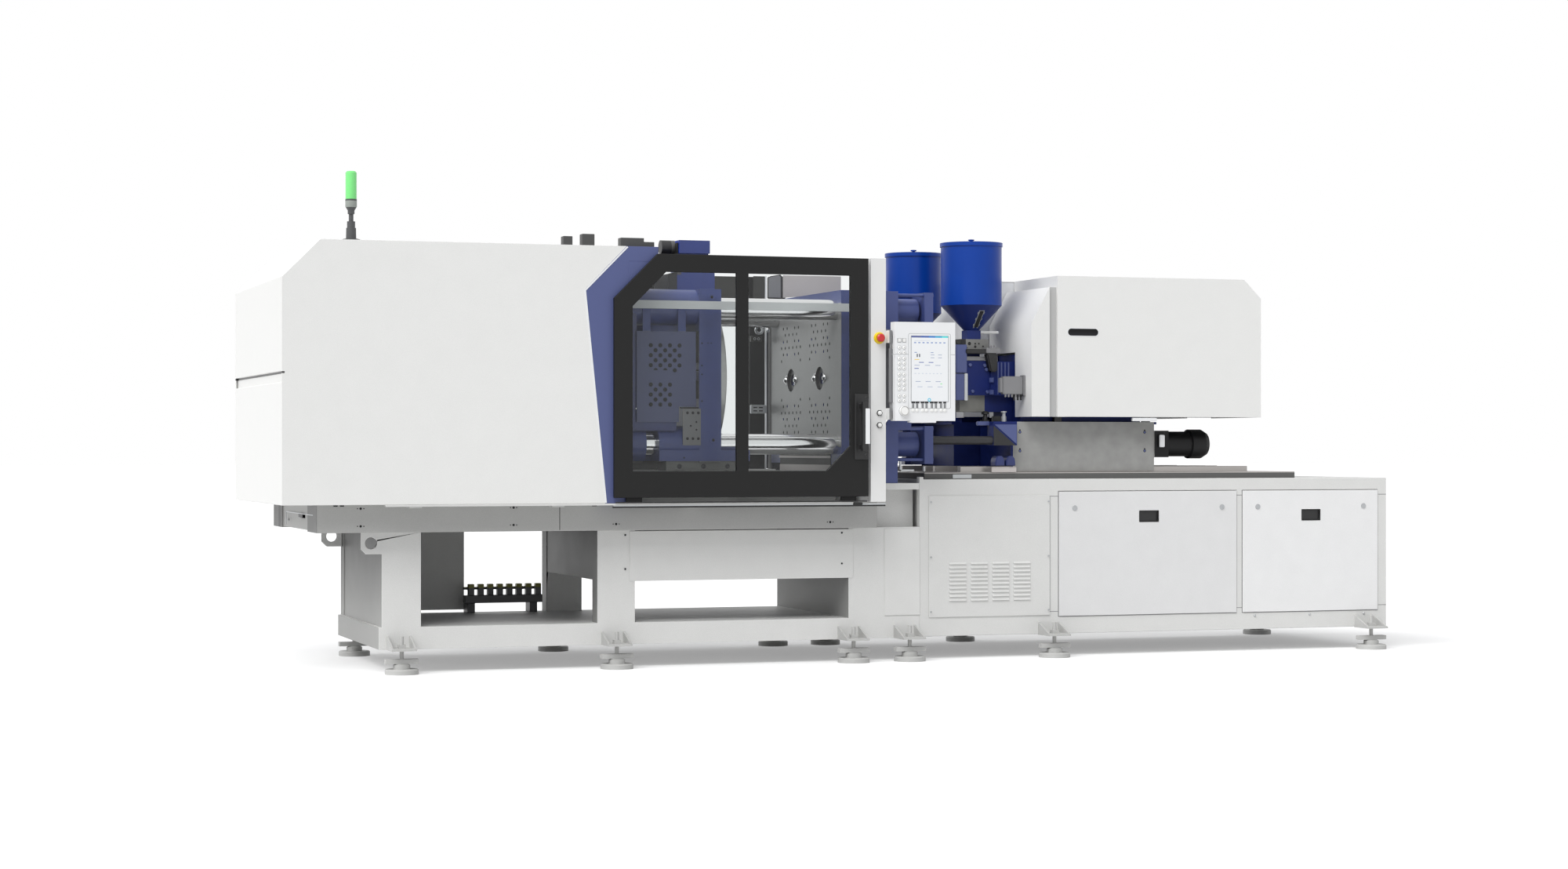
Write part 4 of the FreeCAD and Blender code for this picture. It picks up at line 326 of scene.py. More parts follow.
def glass(name, colour):
    """Clear pane with a slightly uneven gloss."""
    mat = bpy.data.materials.new(name)
    pane = Nodes(mat)
    noise = pane.add("TexNoise", Scale=3.0).outputs[0]
    uneven = pane.add("MapRange", noise, To_Min=0.75, To_Max=1.0).outputs[0]
    fresnel = pane.add("Fresnel", IOR=1.35).outputs[0]
    clear = pane.add("BsdfTransparent", Color=colour).outputs[0]
    gloss = pane.add("BsdfGlossy", Roughness=0.02).outputs[0]
    mix = pane.add("MixShader", pane.math("MULTIPLY", fresnel, uneven), clear, gloss)
    pane.add("OutputMaterial", mix.outputs[0])
    return mat


mats["glass"] = glass("door_pane", (0.95, 0.96, 0.96, 1.0))


def lit_screen(name):
    """Display with a blue bar on top and rows of plain coloured fields."""
    paint = Paint(name, rgb(226, 228, 230), rough=0.25, mottle=0.0, coat=0.3)
    for left, tone in ((0.10, (84, 96, 150)), (0.16, (60, 96, 172)), (0.20, (46, 124, 200)),
                       (0.235, (50, 168, 210)), (0.27, (84, 214, 214))):
        paint.zone(rgb(*tone), [("z", ">", 1.6165), ("x", ">", left)])
    # z, height, left, right, number of fields, colour
    rows = [(1.600, 0.002, 0.124, 0.29, 1, (196, 202, 214)), (1.588, 0.007, 0.122, 0.30, 8, (150, 166, 200)),
            (1.541, 0.004, 0.124, 0.15, 1, (120, 140, 180)), (1.541, 0.003, 0.210, 0.24, 1, (120, 140, 180)),
            (1.520, 0.016, 0.136, 0.16, 2, (70, 74, 84)), (1.506, 0.004, 0.124, 0.175, 1, (226, 196, 90)),
            (1.530, 0.003, 0.210, 0.29, 2, (150, 160, 186)), (1.516, 0.003, 0.210, 0.29, 2, (150, 160, 186)),
            (1.492, 0.004, 0.148, 0.25, 2, (96, 112, 168)), (1.478, 0.003, 0.124, 0.29, 3, (150, 160, 186)),
            (1.462, 0.004, 0.124, 0.17, 1, (96, 112, 168)), (1.437, 0.004, 0.124, 0.28, 8, (200, 206, 216)),
            (1.398, 0.003, 0.130, 0.29, 3, (150, 160, 186)), (1.386, 0.004, 0.262, 0.28, 1, (120, 220, 140)),
            (1.372, 0.003, 0.140, 0.30, 3, (170, 180, 200))]
    for z, tall, left, right, count, tone in rows:
        step = (right - left) / count
        for index in range(count):
            x = left + index * step
            paint.zone(rgb(*tone), [*between("z", z, z + tall), *between("x", x, x + step * 0.5)])
    mat = paint.done()
    paint.put(paint.shader.inputs["Emission Strength"], 0.06)
    paint.put(paint.shader.inputs["Emission Color"], paint.colour)
    return mat


mats["screen"] = lit_screen("display_face")

# paint of each CAD node
NODE_MATS = {
    "levelling_feet": "foot", "clamp_base": "base", "clamp_beams": "beam", "frame_panels": "frame",
    "valve_manifold": "valves", "injection_base": "cabinet",
    "louvre_panel": "cabinet", "cabinet_doors": "doors", "cabinet_locks": "zinc", "clamp_cover": "cover",
    "front_door": "door", "front_door_glass": "glass", "front_door_handle": "black", "rear_door": "door",
    "rear_door_glass": "glass", "guard_rails": "rails", "operator_post": "post", "emergency_stop": "red",
    "button_upper": "pearl", "button_lower": "pearl", "signal_tower": "tower", "signal_lens": "green",
    "hmi_housing": "panel", "hmi_screen": "screen", "hmi_knob": "pearl", "fixed_platen": "platen",
    "tie_bars": "bars", "tie_bar_locks": "blue", "moving_platen": "moving", "rotary_table": "steel",
    "rotary_drive": "drive", "side_guard": "guard", "ejector_bar": "steel", "tail_platen": "blue",
    "rear_links_upper": "dark_steel", "front_links_upper": "dark_steel", "cross_links_upper": "dark_steel",
    "rear_links_lower": "dark_steel", "front_links_lower": "dark_steel", "cross_links_lower": "dark_steel",
    "crosshead": "steel", "clamp_screw": "chrome", "clamp_motor": "black", "base_rails": "rail",
    "carriage_spindles": "dark_steel", "carriage_front": "carriage", "carriage_rear": "carriage_rear",
    "barrel_front": "steel", "barrel_rear": "steel", "screw_front": "steel", "screw_rear": "steel",
    "hopper_front": "hopper", "hopper_rear": "hopper", "hopper_lid_front": "hopper",
    "hopper_lid_rear": "hopper", "slide_gate_front": "white", "slide_gate_rear": "white",
    "injection_shroud_front": "shroud", "injection_shroud_rear": "shroud",
}
# bevel widths in metres of the nodes that don't take the usual one; 0 leaves the edges sharp
ROUND = {"cabinet_doors": 0.002, "cabinet_locks": 0.0008, "front_door_glass": 0.0, "rear_door_glass": 0.0,
         "hmi_screen": 0.0, "louvre_panel": 0.0012, "side_guard": 0.0008, "slide_gate_front": 0.0006,
         "slide_gate_rear": 0.0006, "button_upper": 0.001, "button_lower": 0.001, "hmi_knob": 0.0015,
         "emergency_stop": 0.002, "hmi_housing": 0.005, "front_door_handle": 0.004, "clamp_cover": 0.003,
         "signal_tower": 0.0015, "signal_lens": 0.003, "carriage_spindles": 0.0, "tie_bars": 0.003,
         "screw_front": 0.0, "screw_rear": 0.0, "frame_panels": 0.0012,
         "injection_shroud_front": 0.0018, "injection_shroud_rear": 0.0018}
USUAL_BEVEL = 0.003
WELD = 0.00002                  # vertices nearer than this are one
SHARP = math.radians(30)        # pieces are beveled, and nodes without a bevel split, above this
SMOOTH_BELOW = math.radians(32)


def dress(name):
    """Paint and bevel one CAD node."""
    item = nodes[name]
    mesh = item.data
    mesh.materials.clear()
    mesh.materials.append(mats[NODE_MATS.get(name, "frame")])
    if "custom_normal" in mesh.attributes:
        mesh.attributes.remove(mesh.attributes["custom_normal"])
    mesh.shade_smooth()
    weld = item.modifiers.new("weld", "WELD")
    weld.merge_threshold = WELD
    width = ROUND.get(name, USUAL_BEVEL)
    if width > 0:
        bevel = item.modifiers.new("rounded", "BEVEL")
        bevel.width = width
        bevel.segments = 2
        bevel.limit_method = "ANGLE"
        bevel.angle_limit = SMOOTH_BELOW
        bevel.harden_normals = True
    else:
        split = item.modifiers.new("split", "EDGE_SPLIT")
        split.split_angle = SHARP


for name in nodes:
    dress(name)


# ------------------------------------------------------------ piece building
def close(part, ends):
    """Faces of the solid between two equal rings of vertices."""
    part.faces.new(ends[0])
    part.faces.new(list(reversed(ends[1])))
    for k in range(len(ends[0])):
        n = (k + 1) % len(ends[0])
        part.faces.new((ends[0][n], ends[0][k], ends[1][k], ends[1][n]))
    bmesh.ops.recalc_face_normals(part, faces=part.faces)


class Piece:
    """One mesh piece, gathered from beveled shapes in row millimetres, riding on one body."""

    def __init__(self, name, mat, body):
        self.name = name
        self.mat = mats[mat]
        self.body = body
        self.mesh = bmesh.new()

    def take(self, part, bevel=0.0):
        """Bevel a shape and add it to the piece."""
        if bevel > 0:
            edges = [e for e in part.edges if len(e.link_faces) == 2 and e.calc_face_angle(0) > SHARP]
            bmesh.ops.bevel(part, geom=edges, offset=bevel, segments=2, affect="EDGES", clamp_overlap=True)
        temp = bpy.data.meshes.new("temp")
        part.to_mesh(temp)
        part.free()
        self.mesh.from_mesh(temp)
        bpy.data.meshes.remove(temp)

    def box(self, x, y, z, bevel):
        """Box between the limits (low, high) of each axis."""
        part = bmesh.new()
        bmesh.ops.create_cube(part, size=1.0)
        size = Vector((x[1] - x[0], y[1] - y[0], z[1] - z[0])) / 1000
        centre = Vector((x[0] + x[1], y[0] + y[1], z[0] + z[1])) / 2000
        for vert in part.verts:
            vert.co = vert.co * size + centre
        self.take(part, bevel)

    def lathe(self, at, axis, profile, seg=32):
        """Profile of (radius, distance) turned about axis from the point at."""
        part = bmesh.new()
        turn = Vector((0, 0, 1)).rotation_difference(Vector(axis)).to_matrix().to_4x4()
        rings = []
        for radius, along in profile:
            if radius == 0:
                rings.append([part.verts.new((0, 0, along / 1000))])
            else:
                rings.append([part.verts.new((radius / 1000 * math.cos(2 * math.pi * k / seg),
                                              radius / 1000 * math.sin(2 * math.pi * k / seg),
                                              along / 1000)) for k in range(seg)])
        for a, b in zip(rings, rings[1:]):
            for k in range(seg):
                n = (k + 1) % seg
                if len(a) == 1 and len(b) == 1:
                    continue
                if len(a) == 1:
                    part.faces.new((a[0], b[n], b[k]))
                elif len(b) == 1:
                    part.faces.new((a[k], a[n], b[0]))
                else:
                    part.faces.new((a[k], a[n], b[n], b[k]))
        bmesh.ops.recalc_face_normals(part, faces=part.faces)
        part.transform(Matrix.Translation(Vector(at) / 1000) @ turn)
        self.take(part)

    def disc(self, at, axis, radius, tall, seg):
        """Flat disc with a broken rim."""
        edge = tall * 0.3
        self.lathe(at, axis, [(0, 0), (radius, 0), (radius, tall - edge), (radius - edge, tall), (0, tall)],
                   seg)

    def screw(self, at, axis, radius, tall, seg=16):
        """Socket head: a domed rim round a sunk hexagon."""
        self.lathe(at, axis, [(0, 0), (radius, 0), (radius, tall * 0.7), (radius * 0.86, tall),
                              (radius * 0.5, tall), (radius * 0.45, tall * 0.4), (0, tall * 0.4)], seg)

    def prism(self, outline, a, b, bevel):
        """Outline of (x, z) points, extruded along y from a to b."""
        part = bmesh.new()
        close(part, [[part.verts.new(Vector((x, at, z)) / 1000) for x, z in outline] for at in (a, b)])
        self.take(part, bevel)

    def plate(self, corners, thick):
        """Flat sheet through corner points, thickened both ways."""
        part = bmesh.new()
        ring = [Vector(c) / 1000 for c in corners]
        normal = (ring[1] - ring[0]).cross(ring[2] - ring[0]).normalized() * thick / 2000
        close(part, [[part.verts.new(c + normal * s) for c in ring] for s in (-1, 1)])
        self.take(part)

    def finish(self):
        """Make the object and let it ride on its body."""
        data = bpy.data.meshes.new(self.name)
        self.mesh.to_mesh(data)
        self.mesh.free()
        data.materials.append(self.mat)
        data.shade_smooth()
        data.set_sharp_from_angle(angle=SMOOTH_BELOW)
        item = bpy.data.objects.new(self.name, data)
        scene.collection.objects.link(item)
        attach(item, self.body)


class UnitPiece(Piece):
    """Piece of an injection unit, given at the front unit; unit is (tag, shift in x, sign of y)."""

    def __init__(self, unit, name, mat, body="unit"):
        tag, self.shift, self.turn = unit
        super().__init__(name + "_" + tag, mat, body + "_" + tag)

    def place(self, x, y, z):
        return (x + self.shift, y * self.turn, z)

    def box(self, x, y, z, bevel):
        super().box([at + self.shift for at in x], sorted(at * self.turn for at in y), z, bevel)

    def lathe(self, at, axis, profile, seg=32):
        super().lathe(self.place(*at), (axis[0], axis[1] * self.turn, axis[2]), profile, seg)

    def prism(self, outline, a, b, bevel):
        super().prism([(x + self.shift, z) for x, z in outline], a * self.turn, b * self.turn, bevel)

    def plate(self, corners, thick):
        super().plate([self.place(*corner) for corner in corners], thick)


def rounded(x0, x1, z0, z1, r, steps=5):
    """Outline of a rectangle with corners of radius r."""
    points = []
    corners = ((x1 - r, z1 - r), (x0 + r, z1 - r), (x0 + r, z0 + r), (x1 - r, z0 + r))
    for quarter, (cx, cz) in enumerate(corners):
        for k in range(steps + 1):
            a = math.radians(90 * quarter + 90 * k / steps)
            points.append((cx + r * math.cos(a), cz + r * math.sin(a)))
    return points


def boxes(piece, *rows):
    """Fill and finish a piece of boxes only; a row holds the x, y and z limits and the bevel."""
    for row in rows:
        piece.box(*row)
    piece.finish()


FRONT = (0, -1, 0)
UP = (0, 0, 1)
DOWN = (0, 0, -1)
LEFT = (-1, 0, 0)
RIGHT = (1, 0, 0)
AXIS_Z = 1428                   # height of both mould axes
AXES_Y = (-226, 226)            # their places in y
PLATEN_FACE = -141
GUARD_FACE = -556
PANEL_FACE = -880
KEY_COLUMNS = (44.5, 70)        # x of the panel's two key columns
SOFT_KEYS = (117, 138.3, 167.5, 188, 216.7, 238, 265.9, 286)    # x of the keys under the screen

# clamp side: beams and base
p = Piece("beam_screws", "hole", "machine")
for x in (-2586, -1851, -1343, -242):
    for z in (786, 703):
        p.disc((x, -670, z), FRONT, 6, 0.6, 14)
        for a in (-15, 15):
            p.disc((x + a, -670, z), FRONT, 3, 0.5, 10)
p.finish()
p = Piece("beam_trim", "black", "machine")
for a, b, low in ((-2715, -2694, 796), (-2684, -2664, 796), (-1630, -1610, 790), (-1602, -1472, 799),
                  (-1464, -1440, 790)):
    p.box((a, b), (-672, -668), (low, 808), 0.001)
p.box((-2793.8, -2791), (450, 505), (673, 804), 0.0005)
p.box((-2794.2, -2791), (-261, -142), (736, 752), 0.0005)
p.box((-2793.8, -2791), (158, 170), (712, 724), 0.0005)
p.box((-1625.5, -1622.5), (-670.6, -669), (676, 804), 0.0)
p.box((-169, -120), (-806, -784), (790, 804), 0.002)
p.finish()
boxes(Piece("beam_lip", "light_metal", "machine"),
      ((-2794, -2791), (-562, 252), (752, 756), 0.0005),
      ((-2794, -2791), (248, 253), (690, 752), 0.0005))

boxes(Piece("door_tracks", "light_metal", "machine"), ((-1392, 4), (-800, -780), (791, 797), 0.001))
# painted shadow: a black strip under the door track for the shadow line below the cover and door
boxes(Piece("door_track_shadow", "black", "machine"), ((-1392, 4), (-797, -779), (783, 790.5), 0.001))

# cover details
p = Piece("cover_edge", "white", "machine")
for y in (-786.4, 784.6):
    p.prism([(-1429, 808), (-1421, 808), (-1524, 1824), (-1314, 2036), (-1320, 2040), (-1532, 1827)],
            y, y + 1.8, 0.0)
p.finish()
p = Piece("cover_corner", "cover", "machine")
for y in (-785, 782):
    p.prism([(-1312, 1969), (-1164, 1969), (-1312, 1819)], y, y + 3, 0.0005)
p.finish()
boxes(Piece("drive_plate", "black", "platen"), ((-858, -851), (-78, 78), (2010, 2118), 0.003))

# front door
boxes(Piece("door_white_strip", "white", "front_door_leaf"),
      ((-135, -112), (-887.8, -885), (1091, 1265), 0.0008))
boxes(Piece("door_seals", "black", "front_door_leaf"), ((-1386, -100), (-816, -808), (806, 812), 0.001))
p = Piece("handle_bolts", "black", "front_door_leaf")
for z in (1036, 1316):
    p.screw((-131, -886, z), FRONT, 8, 3)
p.finish()

# operator post
p = Piece("post_collars", "black", "machine")
for z in (1244, 1184):
    p.lathe((-33, -803, z), FRONT, [(16, 0), (16, 9), (14.6, 11), (12.8, 11)], 6)
p.finish()
boxes(Piece("hinge_column", "mid_grey", "machine"), ((16, 52), (-762, -748), (1268, 1592), 0.002))
for name, body, z in (("key_domes", "upper_key", 1244), ("lower_domes", "lower_key", 1184)):
    p = Piece(name, "pearl", body)
    p.lathe((-33, -816, z), FRONT, [(10.4, -1), (10.4, 2), (8, 4.4), (4, 5.6), (0, 6)], 28)
    p.finish()
p = Piece("stop_ring", "yellow", "machine")
p.lathe((-33, -803, 1615), FRONT, [(24, 0), (24, 2.5), (22.5, 4), (20.6, 4)])
p.finish()

# panel face
p = Piece("panel_bezel", "zinc", "panel")
p.prism(rounded(92, 318, 1265, 1637, 9), -880.5, -879.5, 0.0)
p.prism(rounded(104.5, 307, 1298, 1626.5, 3), -881.3, -880.2, 0.0)
p.finish()
p = Piece("panel_bezel_face", "white", "panel")
p.prism(rounded(94.4, 315.6, 1267.4, 1634.6, 7), -881.0, -880.2, 0.0)
p.finish()
boxes(Piece("panel_display", "screen", "panel"), ((108, 303.5), (-881.9, -881), (1301, 1625), 0.0005))
p = Piece("panel_key_rims", "zinc", "panel")
KEY_ROWS = (1567, 1541, 1513, 1488.5, 1464, 1434, 1409, 1385, 1362, 1328.5, 1304.5)
for x in KEY_COLUMNS:
    p.box((x - 10.5, x + 10.5), (-880.8, -879.6), (1591, 1612), 0.002)
    for z in KEY_ROWS:
        p.lathe((x, PANEL_FACE, z), FRONT, [(0, 0), (10.6, 0), (10.6, 0.8), (0, 0.8)], 24)
for x in SOFT_KEYS:
    p.box((x - 6.5, x + 6.5), (-882.2, -880), (1262, 1292), 0.001)
p.finish()
p = Piece("panel_keys", "pearl", "panel")
for x in KEY_COLUMNS:
    p.box((x - 9, x + 9), (-883, -880), (1593.5, 1611), 0.003)
    for z in KEY_ROWS:
        p.lathe((x, -880.6, z), FRONT, [(9, 0), (9, 1.2), (7.6, 2.2), (0, 2.8)], 24)
for x in SOFT_KEYS:
    p.lathe((x, -880.6, 1257.5), FRONT, [(9.4, 0), (9.4, 2), (7.6, 3.2), (0, 3.8)], 24)
p.finish()
p = Piece("panel_marks", "dark_steel", "panel")
for a, b in ((108, 128), (130, 150), (157, 177), (179, 198), (206, 226), (228, 247), (253, 270), (277, 293)):
    p.box((a, b), (-882.4, -880.6), (1291.5, 1300.5), 0.0006)
for x in KEY_COLUMNS:
    for z in KEY_ROWS:
        p.disc((x, -883.3, z), FRONT, 1.7, 0.3, 10)
for x in SOFT_KEYS:
    for a in (-2.6, 2.6):
        p.box((x + a - 0.9, x + a + 0.9), (-882.8, -882), (1266, 1290), 0.0)
p.finish()
p = Piece("panel_home", "blue_mark", "panel")
p.lathe((203, -881.9, 1309), FRONT, [(4.6, 0), (8.6, 0), (8.6, 0.6), (4.6, 0.6), (4.6, 0)], 28)
p.finish()
p = Piece("panel_knob_ring", "zinc", "panel")
p.lathe((68, PANEL_FACE, 1254), FRONT, [(26, 0), (26, 0.8), (24.5, 1.4), (22, 1.4)])
p.finish()
p = Piece("panel_knob_cap", "pearl", "panel_knob")
p.lathe((68, -897, 1254), FRONT, [(23.4, -8), (25, -7.2), (25, -1.6), (24.1, -0.3), (22.8, -0.1)], 40)
p.finish()
boxes(Piece("panel_lip", "white", "panel"), ((99, 235), (-879, -850), (1196.5, 1204), 0.0015))
p = Piece("panel_seam", "zinc", "panel")
for a, b in ((3, 94), (317, 341)):
    p.box((a, b), (-880.4, -879.6), (1532, 1534.5), 0.0)
p.finish()
p = Piece("panel_vents", "hole", "panel")
for k in range(9):
    p.box((80 + k * 22, 92 + k * 22), (-818.6, -817.2), (1500, 1560), 0.001)
p.finish()
p = Piece("hinge_ribs", "mid_grey", "machine")
for z0 in (1222, 1600):
    for k in range(6):
        p.box((3, 17), (-846, -836), (z0 + k * 7, z0 + k * 7 + 4), 0.001)
p.finish()

# fixed platen
HOLE_STEP = 30.5
HOLE_ROWS = ((103, (5,)), (138, (4,)), (172, (5, 3, 1)), (206, (2,)), (241, (3, 1)), (275, (4, 2)))


def mould_holes(p, x, axis, reach=math.inf):
    """Mirrored rows of bolt holes round both mould axes, out to a reach from the machine's axis."""
    for side in AXES_Y:
        for rise, columns in HOLE_ROWS:
            for across in [a * column * HOLE_STEP for column in columns for a in (-1, 1)]:
                for b in (-1, 1):
                    if math.hypot(side + across, rise) < reach:
                        p.disc((x, side + across, AXIS_Z + b * rise), axis, 8, 0.5, 16)


p = Piece("platen_holes", "hole", "machine")
mould_holes(p, PLATEN_FACE, LEFT)
p.finish()
p = Piece("platen_bores", "black", "machine")
for side in AXES_Y:
    p.lathe((-141.2, side, AXIS_Z), RIGHT, [(59.4, 0), (59.4, 11), (30, 11.2)], 40)
p.finish()
p = Piece("mould_clamps", "chrome", "machine")
for side in AXES_Y:
    for a in (-1, 1):
        y = side + a * 78
        p.lathe((PLATEN_FACE, y, AXIS_Z), LEFT, [(0, 0), (17, 0), (18, 3), (16, 7), (7, 13), (0, 14)], 24)
        for z in (1408, 1448):
            p.lathe((PLATEN_FACE, side + a * 66, z), LEFT, [(0, 0), (6, 0), (6, 4), (3, 5), (0, 5)], 14)
p.finish()

boxes(Piece("plate_shadow", "sheet", "machine"), ((-143, -141.2), (-400, 396), (935, 1050), 0.0))
p = Piece("lock_rib", "blue", "machine")
p.prism([(100, 1168), (100, 1198), (112, 1214), (236, 1214), (236, 1168)], -556, -545, 0.002)
p.finish()
boxes(Piece("plate_rails", "pale", "machine"),
      ((-146, -141.4), (-400, 396), (950, 985), 0.002),
      ((-145, -141.4), (-400, 410), (1019, 1031), 0.001))

# moving platen, table and guard
boxes(Piece("sleeve_web", "cast_blue", "platen"),
      ((-1248, -1204), (-545, -535), (1262, 1772), 0.004),
      ((-1248, -1000), (-545, -535), (1155, 1262), 0.004))
p = Piece("table_rim", "steel", "table")
p.lathe((-704.5, 0, AXIS_Z), RIGHT, [(428, -6), (430.5, -4), (430.5, -2), (428, 0.2)], 96)
p.finish()
p = Piece("table_holes", "hole", "table")
mould_holes(p, -704, RIGHT, 405)
p.finish()
p = Piece("guard_holes", "hole", "platen")
for base, rows_down, wide in ((1575, 5, 4), (1382, 5, 3)):
    for row in range(rows_down):
        for x in range(wide - row % 2):
            p.disc((-1136 + (x + 0.5 * (row % 2)) * 49, GUARD_FACE, base - 24.5 * row), FRONT, 10.5, 0.5, 18)
p.disc((-1013, GUARD_FACE, 1453), FRONT, 10.5, 0.5, 18)
for x in (-1111, -1062):
    p.prism([(x + 10.5 * math.cos(math.radians(20 * k)), 1453 + 10.5 * math.sin(math.radians(20 * k)))
             for k in range(10)], GUARD_FACE - 0.6, GUARD_FACE, 0.0)
for a, b, low, high in ((-905, -890, 1489, 1648), (-905, -890, 1313, 1404), (-905, -890, 1450, 1457),
                        (-988, -890, 1265, 1272)):
    p.box((a, b), (GUARD_FACE - 0.6, GUARD_FACE), (low, high), 0.0)
for z in (1244, 1117):
    for x in (-948, -920, -892):
        p.disc((x, GUARD_FACE, z), FRONT, 7, 0.5, 14)
for x, z in ((-902, 1199), (-931, 1180), (-902, 1161)):
    p.disc((x, GUARD_FACE, z), FRONT, 5, 0.5, 12)
p.finish()
p = Piece("platen_dots", "hole", "platen")
for x, z, r in ((-872, 1588, 4), (-872, 1478, 4), (-872, 1434, 4), (-872, 1302, 4), (-841, 1589, 3),
                (-824, 1589, 3), (-821, 1816, 7), (-813, 1110, 7), (-964, 1023, 4)):
    p.disc((x, -552.3, z), FRONT, r, 0.7, 14)
p.finish()
p = Piece("platen_bosses", "blue", "platen")
for x, z in ((-821, 1816), (-813, 1110)):
    p.lathe((x, -551.5, z), FRONT, [(19, 0), (18, 1.2), (11, 1.2), (9, 0.4)], 24)
p.finish()
p = Piece("shoe_bolts", "dark_steel", "platen")
for x in (-986, -862, -738):
    p.screw((x, -545, 981), FRONT, 12, 1.6, 20)
p.finish()

# rear of the tool room, seen through the door panes
boxes(Piece("room_sheets", "sheet", "machine"),
      ((-470, -320), (598, 604), (1874, 1993), 0.001),
      ((-227, -162), (598, 604), (1876, 1998), 0.001),
      ((-240, -178), (598, 622), (1643, 1676), 0.002))
boxes(Piece("room_edges", "white", "machine"), ((-161, -152), (599, 604), (960, 2000), 0.0))
p = Piece("room_strip", "dark_steel", "machine")
p.box((-151, -142), (599, 604), (960, 1700), 0.0)
p.prism([(-146, 1880), (-146, 1990), (-128, 2000), (-72, 2010), (-62, 1998), (-62, 1880)], 600, 606, 0.001)
p.finish()
p = Piece("room_roof", "pale", "machine")
p.prism([(-58, 1884), (-58, 2006), (276, 2006), (276, 1912)], 600, 604, 0.001)
p.finish()
p = Piece("room_fold", "mid_grey", "machine")
p.prism([(-142, 1884), (-142, 1988), (-126, 1996), (-80, 2004), (-72, 1994), (-72, 1884)], 597, 600.5, 0.001)
p.finish()
p = Piece("room_ring", "zinc", "machine")
p.lathe((-195, 600, 1708), FRONT, [(12, 0), (12, 8), (16, 10), (24, 10), (26, 8), (26, 0)], 32)
for x in (-220, -198):
    p.lathe((x, 598, 1660), FRONT, [(4, 0), (4, 3), (8, 3), (8, 0)], 18)
p.lathe((-146, 600, 1704), FRONT, [(0, 0), (9, 0), (9, 10), (7, 12), (0, 12)], 18)
p.box((-240, -150), (598, 622), (1256, 1304), 0.003)
p.finish()
p = Piece("room_slots", "hole", "machine")
for x in (-228, -196):
    for z in (1268, 1286):
        p.box((x, x + 22), (597.2, 598.4), (z, z + 6), 0.0)
p.finish()

# steel parts by the nozzles, base fittings
boxes(Piece("unit_clips", "light_metal", "machine"),
      ((172, 249), (-560, -545), (953, 962), 0.0015),
      ((172, 180), (-560, -545), (953, 1004), 0.0015),
      ((316, 324), (-521, -500), (952, 976), 0.001),
      ((486, 590), (-496, -492), (915, 935), 0.001))
p = Piece("cabinet_screws", "zinc", "machine")
for x in (336, 986):
    for z in (797, 517, 240):
        p.screw((x, -573, z), FRONT, 5, 2)
p.finish()
# mid-grey strips: painted shade in the gaps round the cabinet doors, and seam lines on the frame beside them
p = Piece("cabinet_gap_shade_and_seams", "mid_grey", "machine")
for x0, x1 in ((1044.5, 1048.5), (2069.5, 2073.5), (2105.5, 2109.5), (2916.5, 2920)):
    p.box((x0, x1), (-559, -554), (204, 846), 0.0003)
for x0, x1 in ((1045, 2073), (2106, 2920)):
    p.box((x0, x1), (-559, -554), (200.5, 204), 0.0003)
for x0, x1 in ((999, 1044), (2074, 2105), (2921, 2971)):
    for z in (228, 821):
        p.box((x0, x1), (-560.5, -559), (z, z + 3), 0.0)
p.box((997.5, 1000), (-560.5, -559), (228, 824), 0.0)
p.finish()
p = Piece("door_grips", "black", "machine")
for x in (1560, 2512):
    for a, b, low, high in ((-57, -52, 688, 744), (52, 57, 688, 744), (-57, 57, 741, 746),
                            (-57, 57, 685, 690)):
        p.box((x + a, x + b), (-567.5, -556), (low, high), 0.0015)
    p.box((x - 52, x + 52), (-556.5, -554.6), (690, 741), 0.0005)
p.finish()
p = Piece("frame_screws", "dark_steel", "machine")
for x, z in ((-1268, 646), (-1268, 480), (-142, 646), (-142, 492)):
    p.screw((x, -564, z), FRONT, 5, 2)
p.finish()
p = Piece("cabinet_pins", "zinc", "machine")
for x in (2180, 2507, 2834):
    p.lathe((x, -556, 186), FRONT, [(0, 0), (6, 0), (6, 8), (4, 10), (0, 10)], 14)
p.finish()

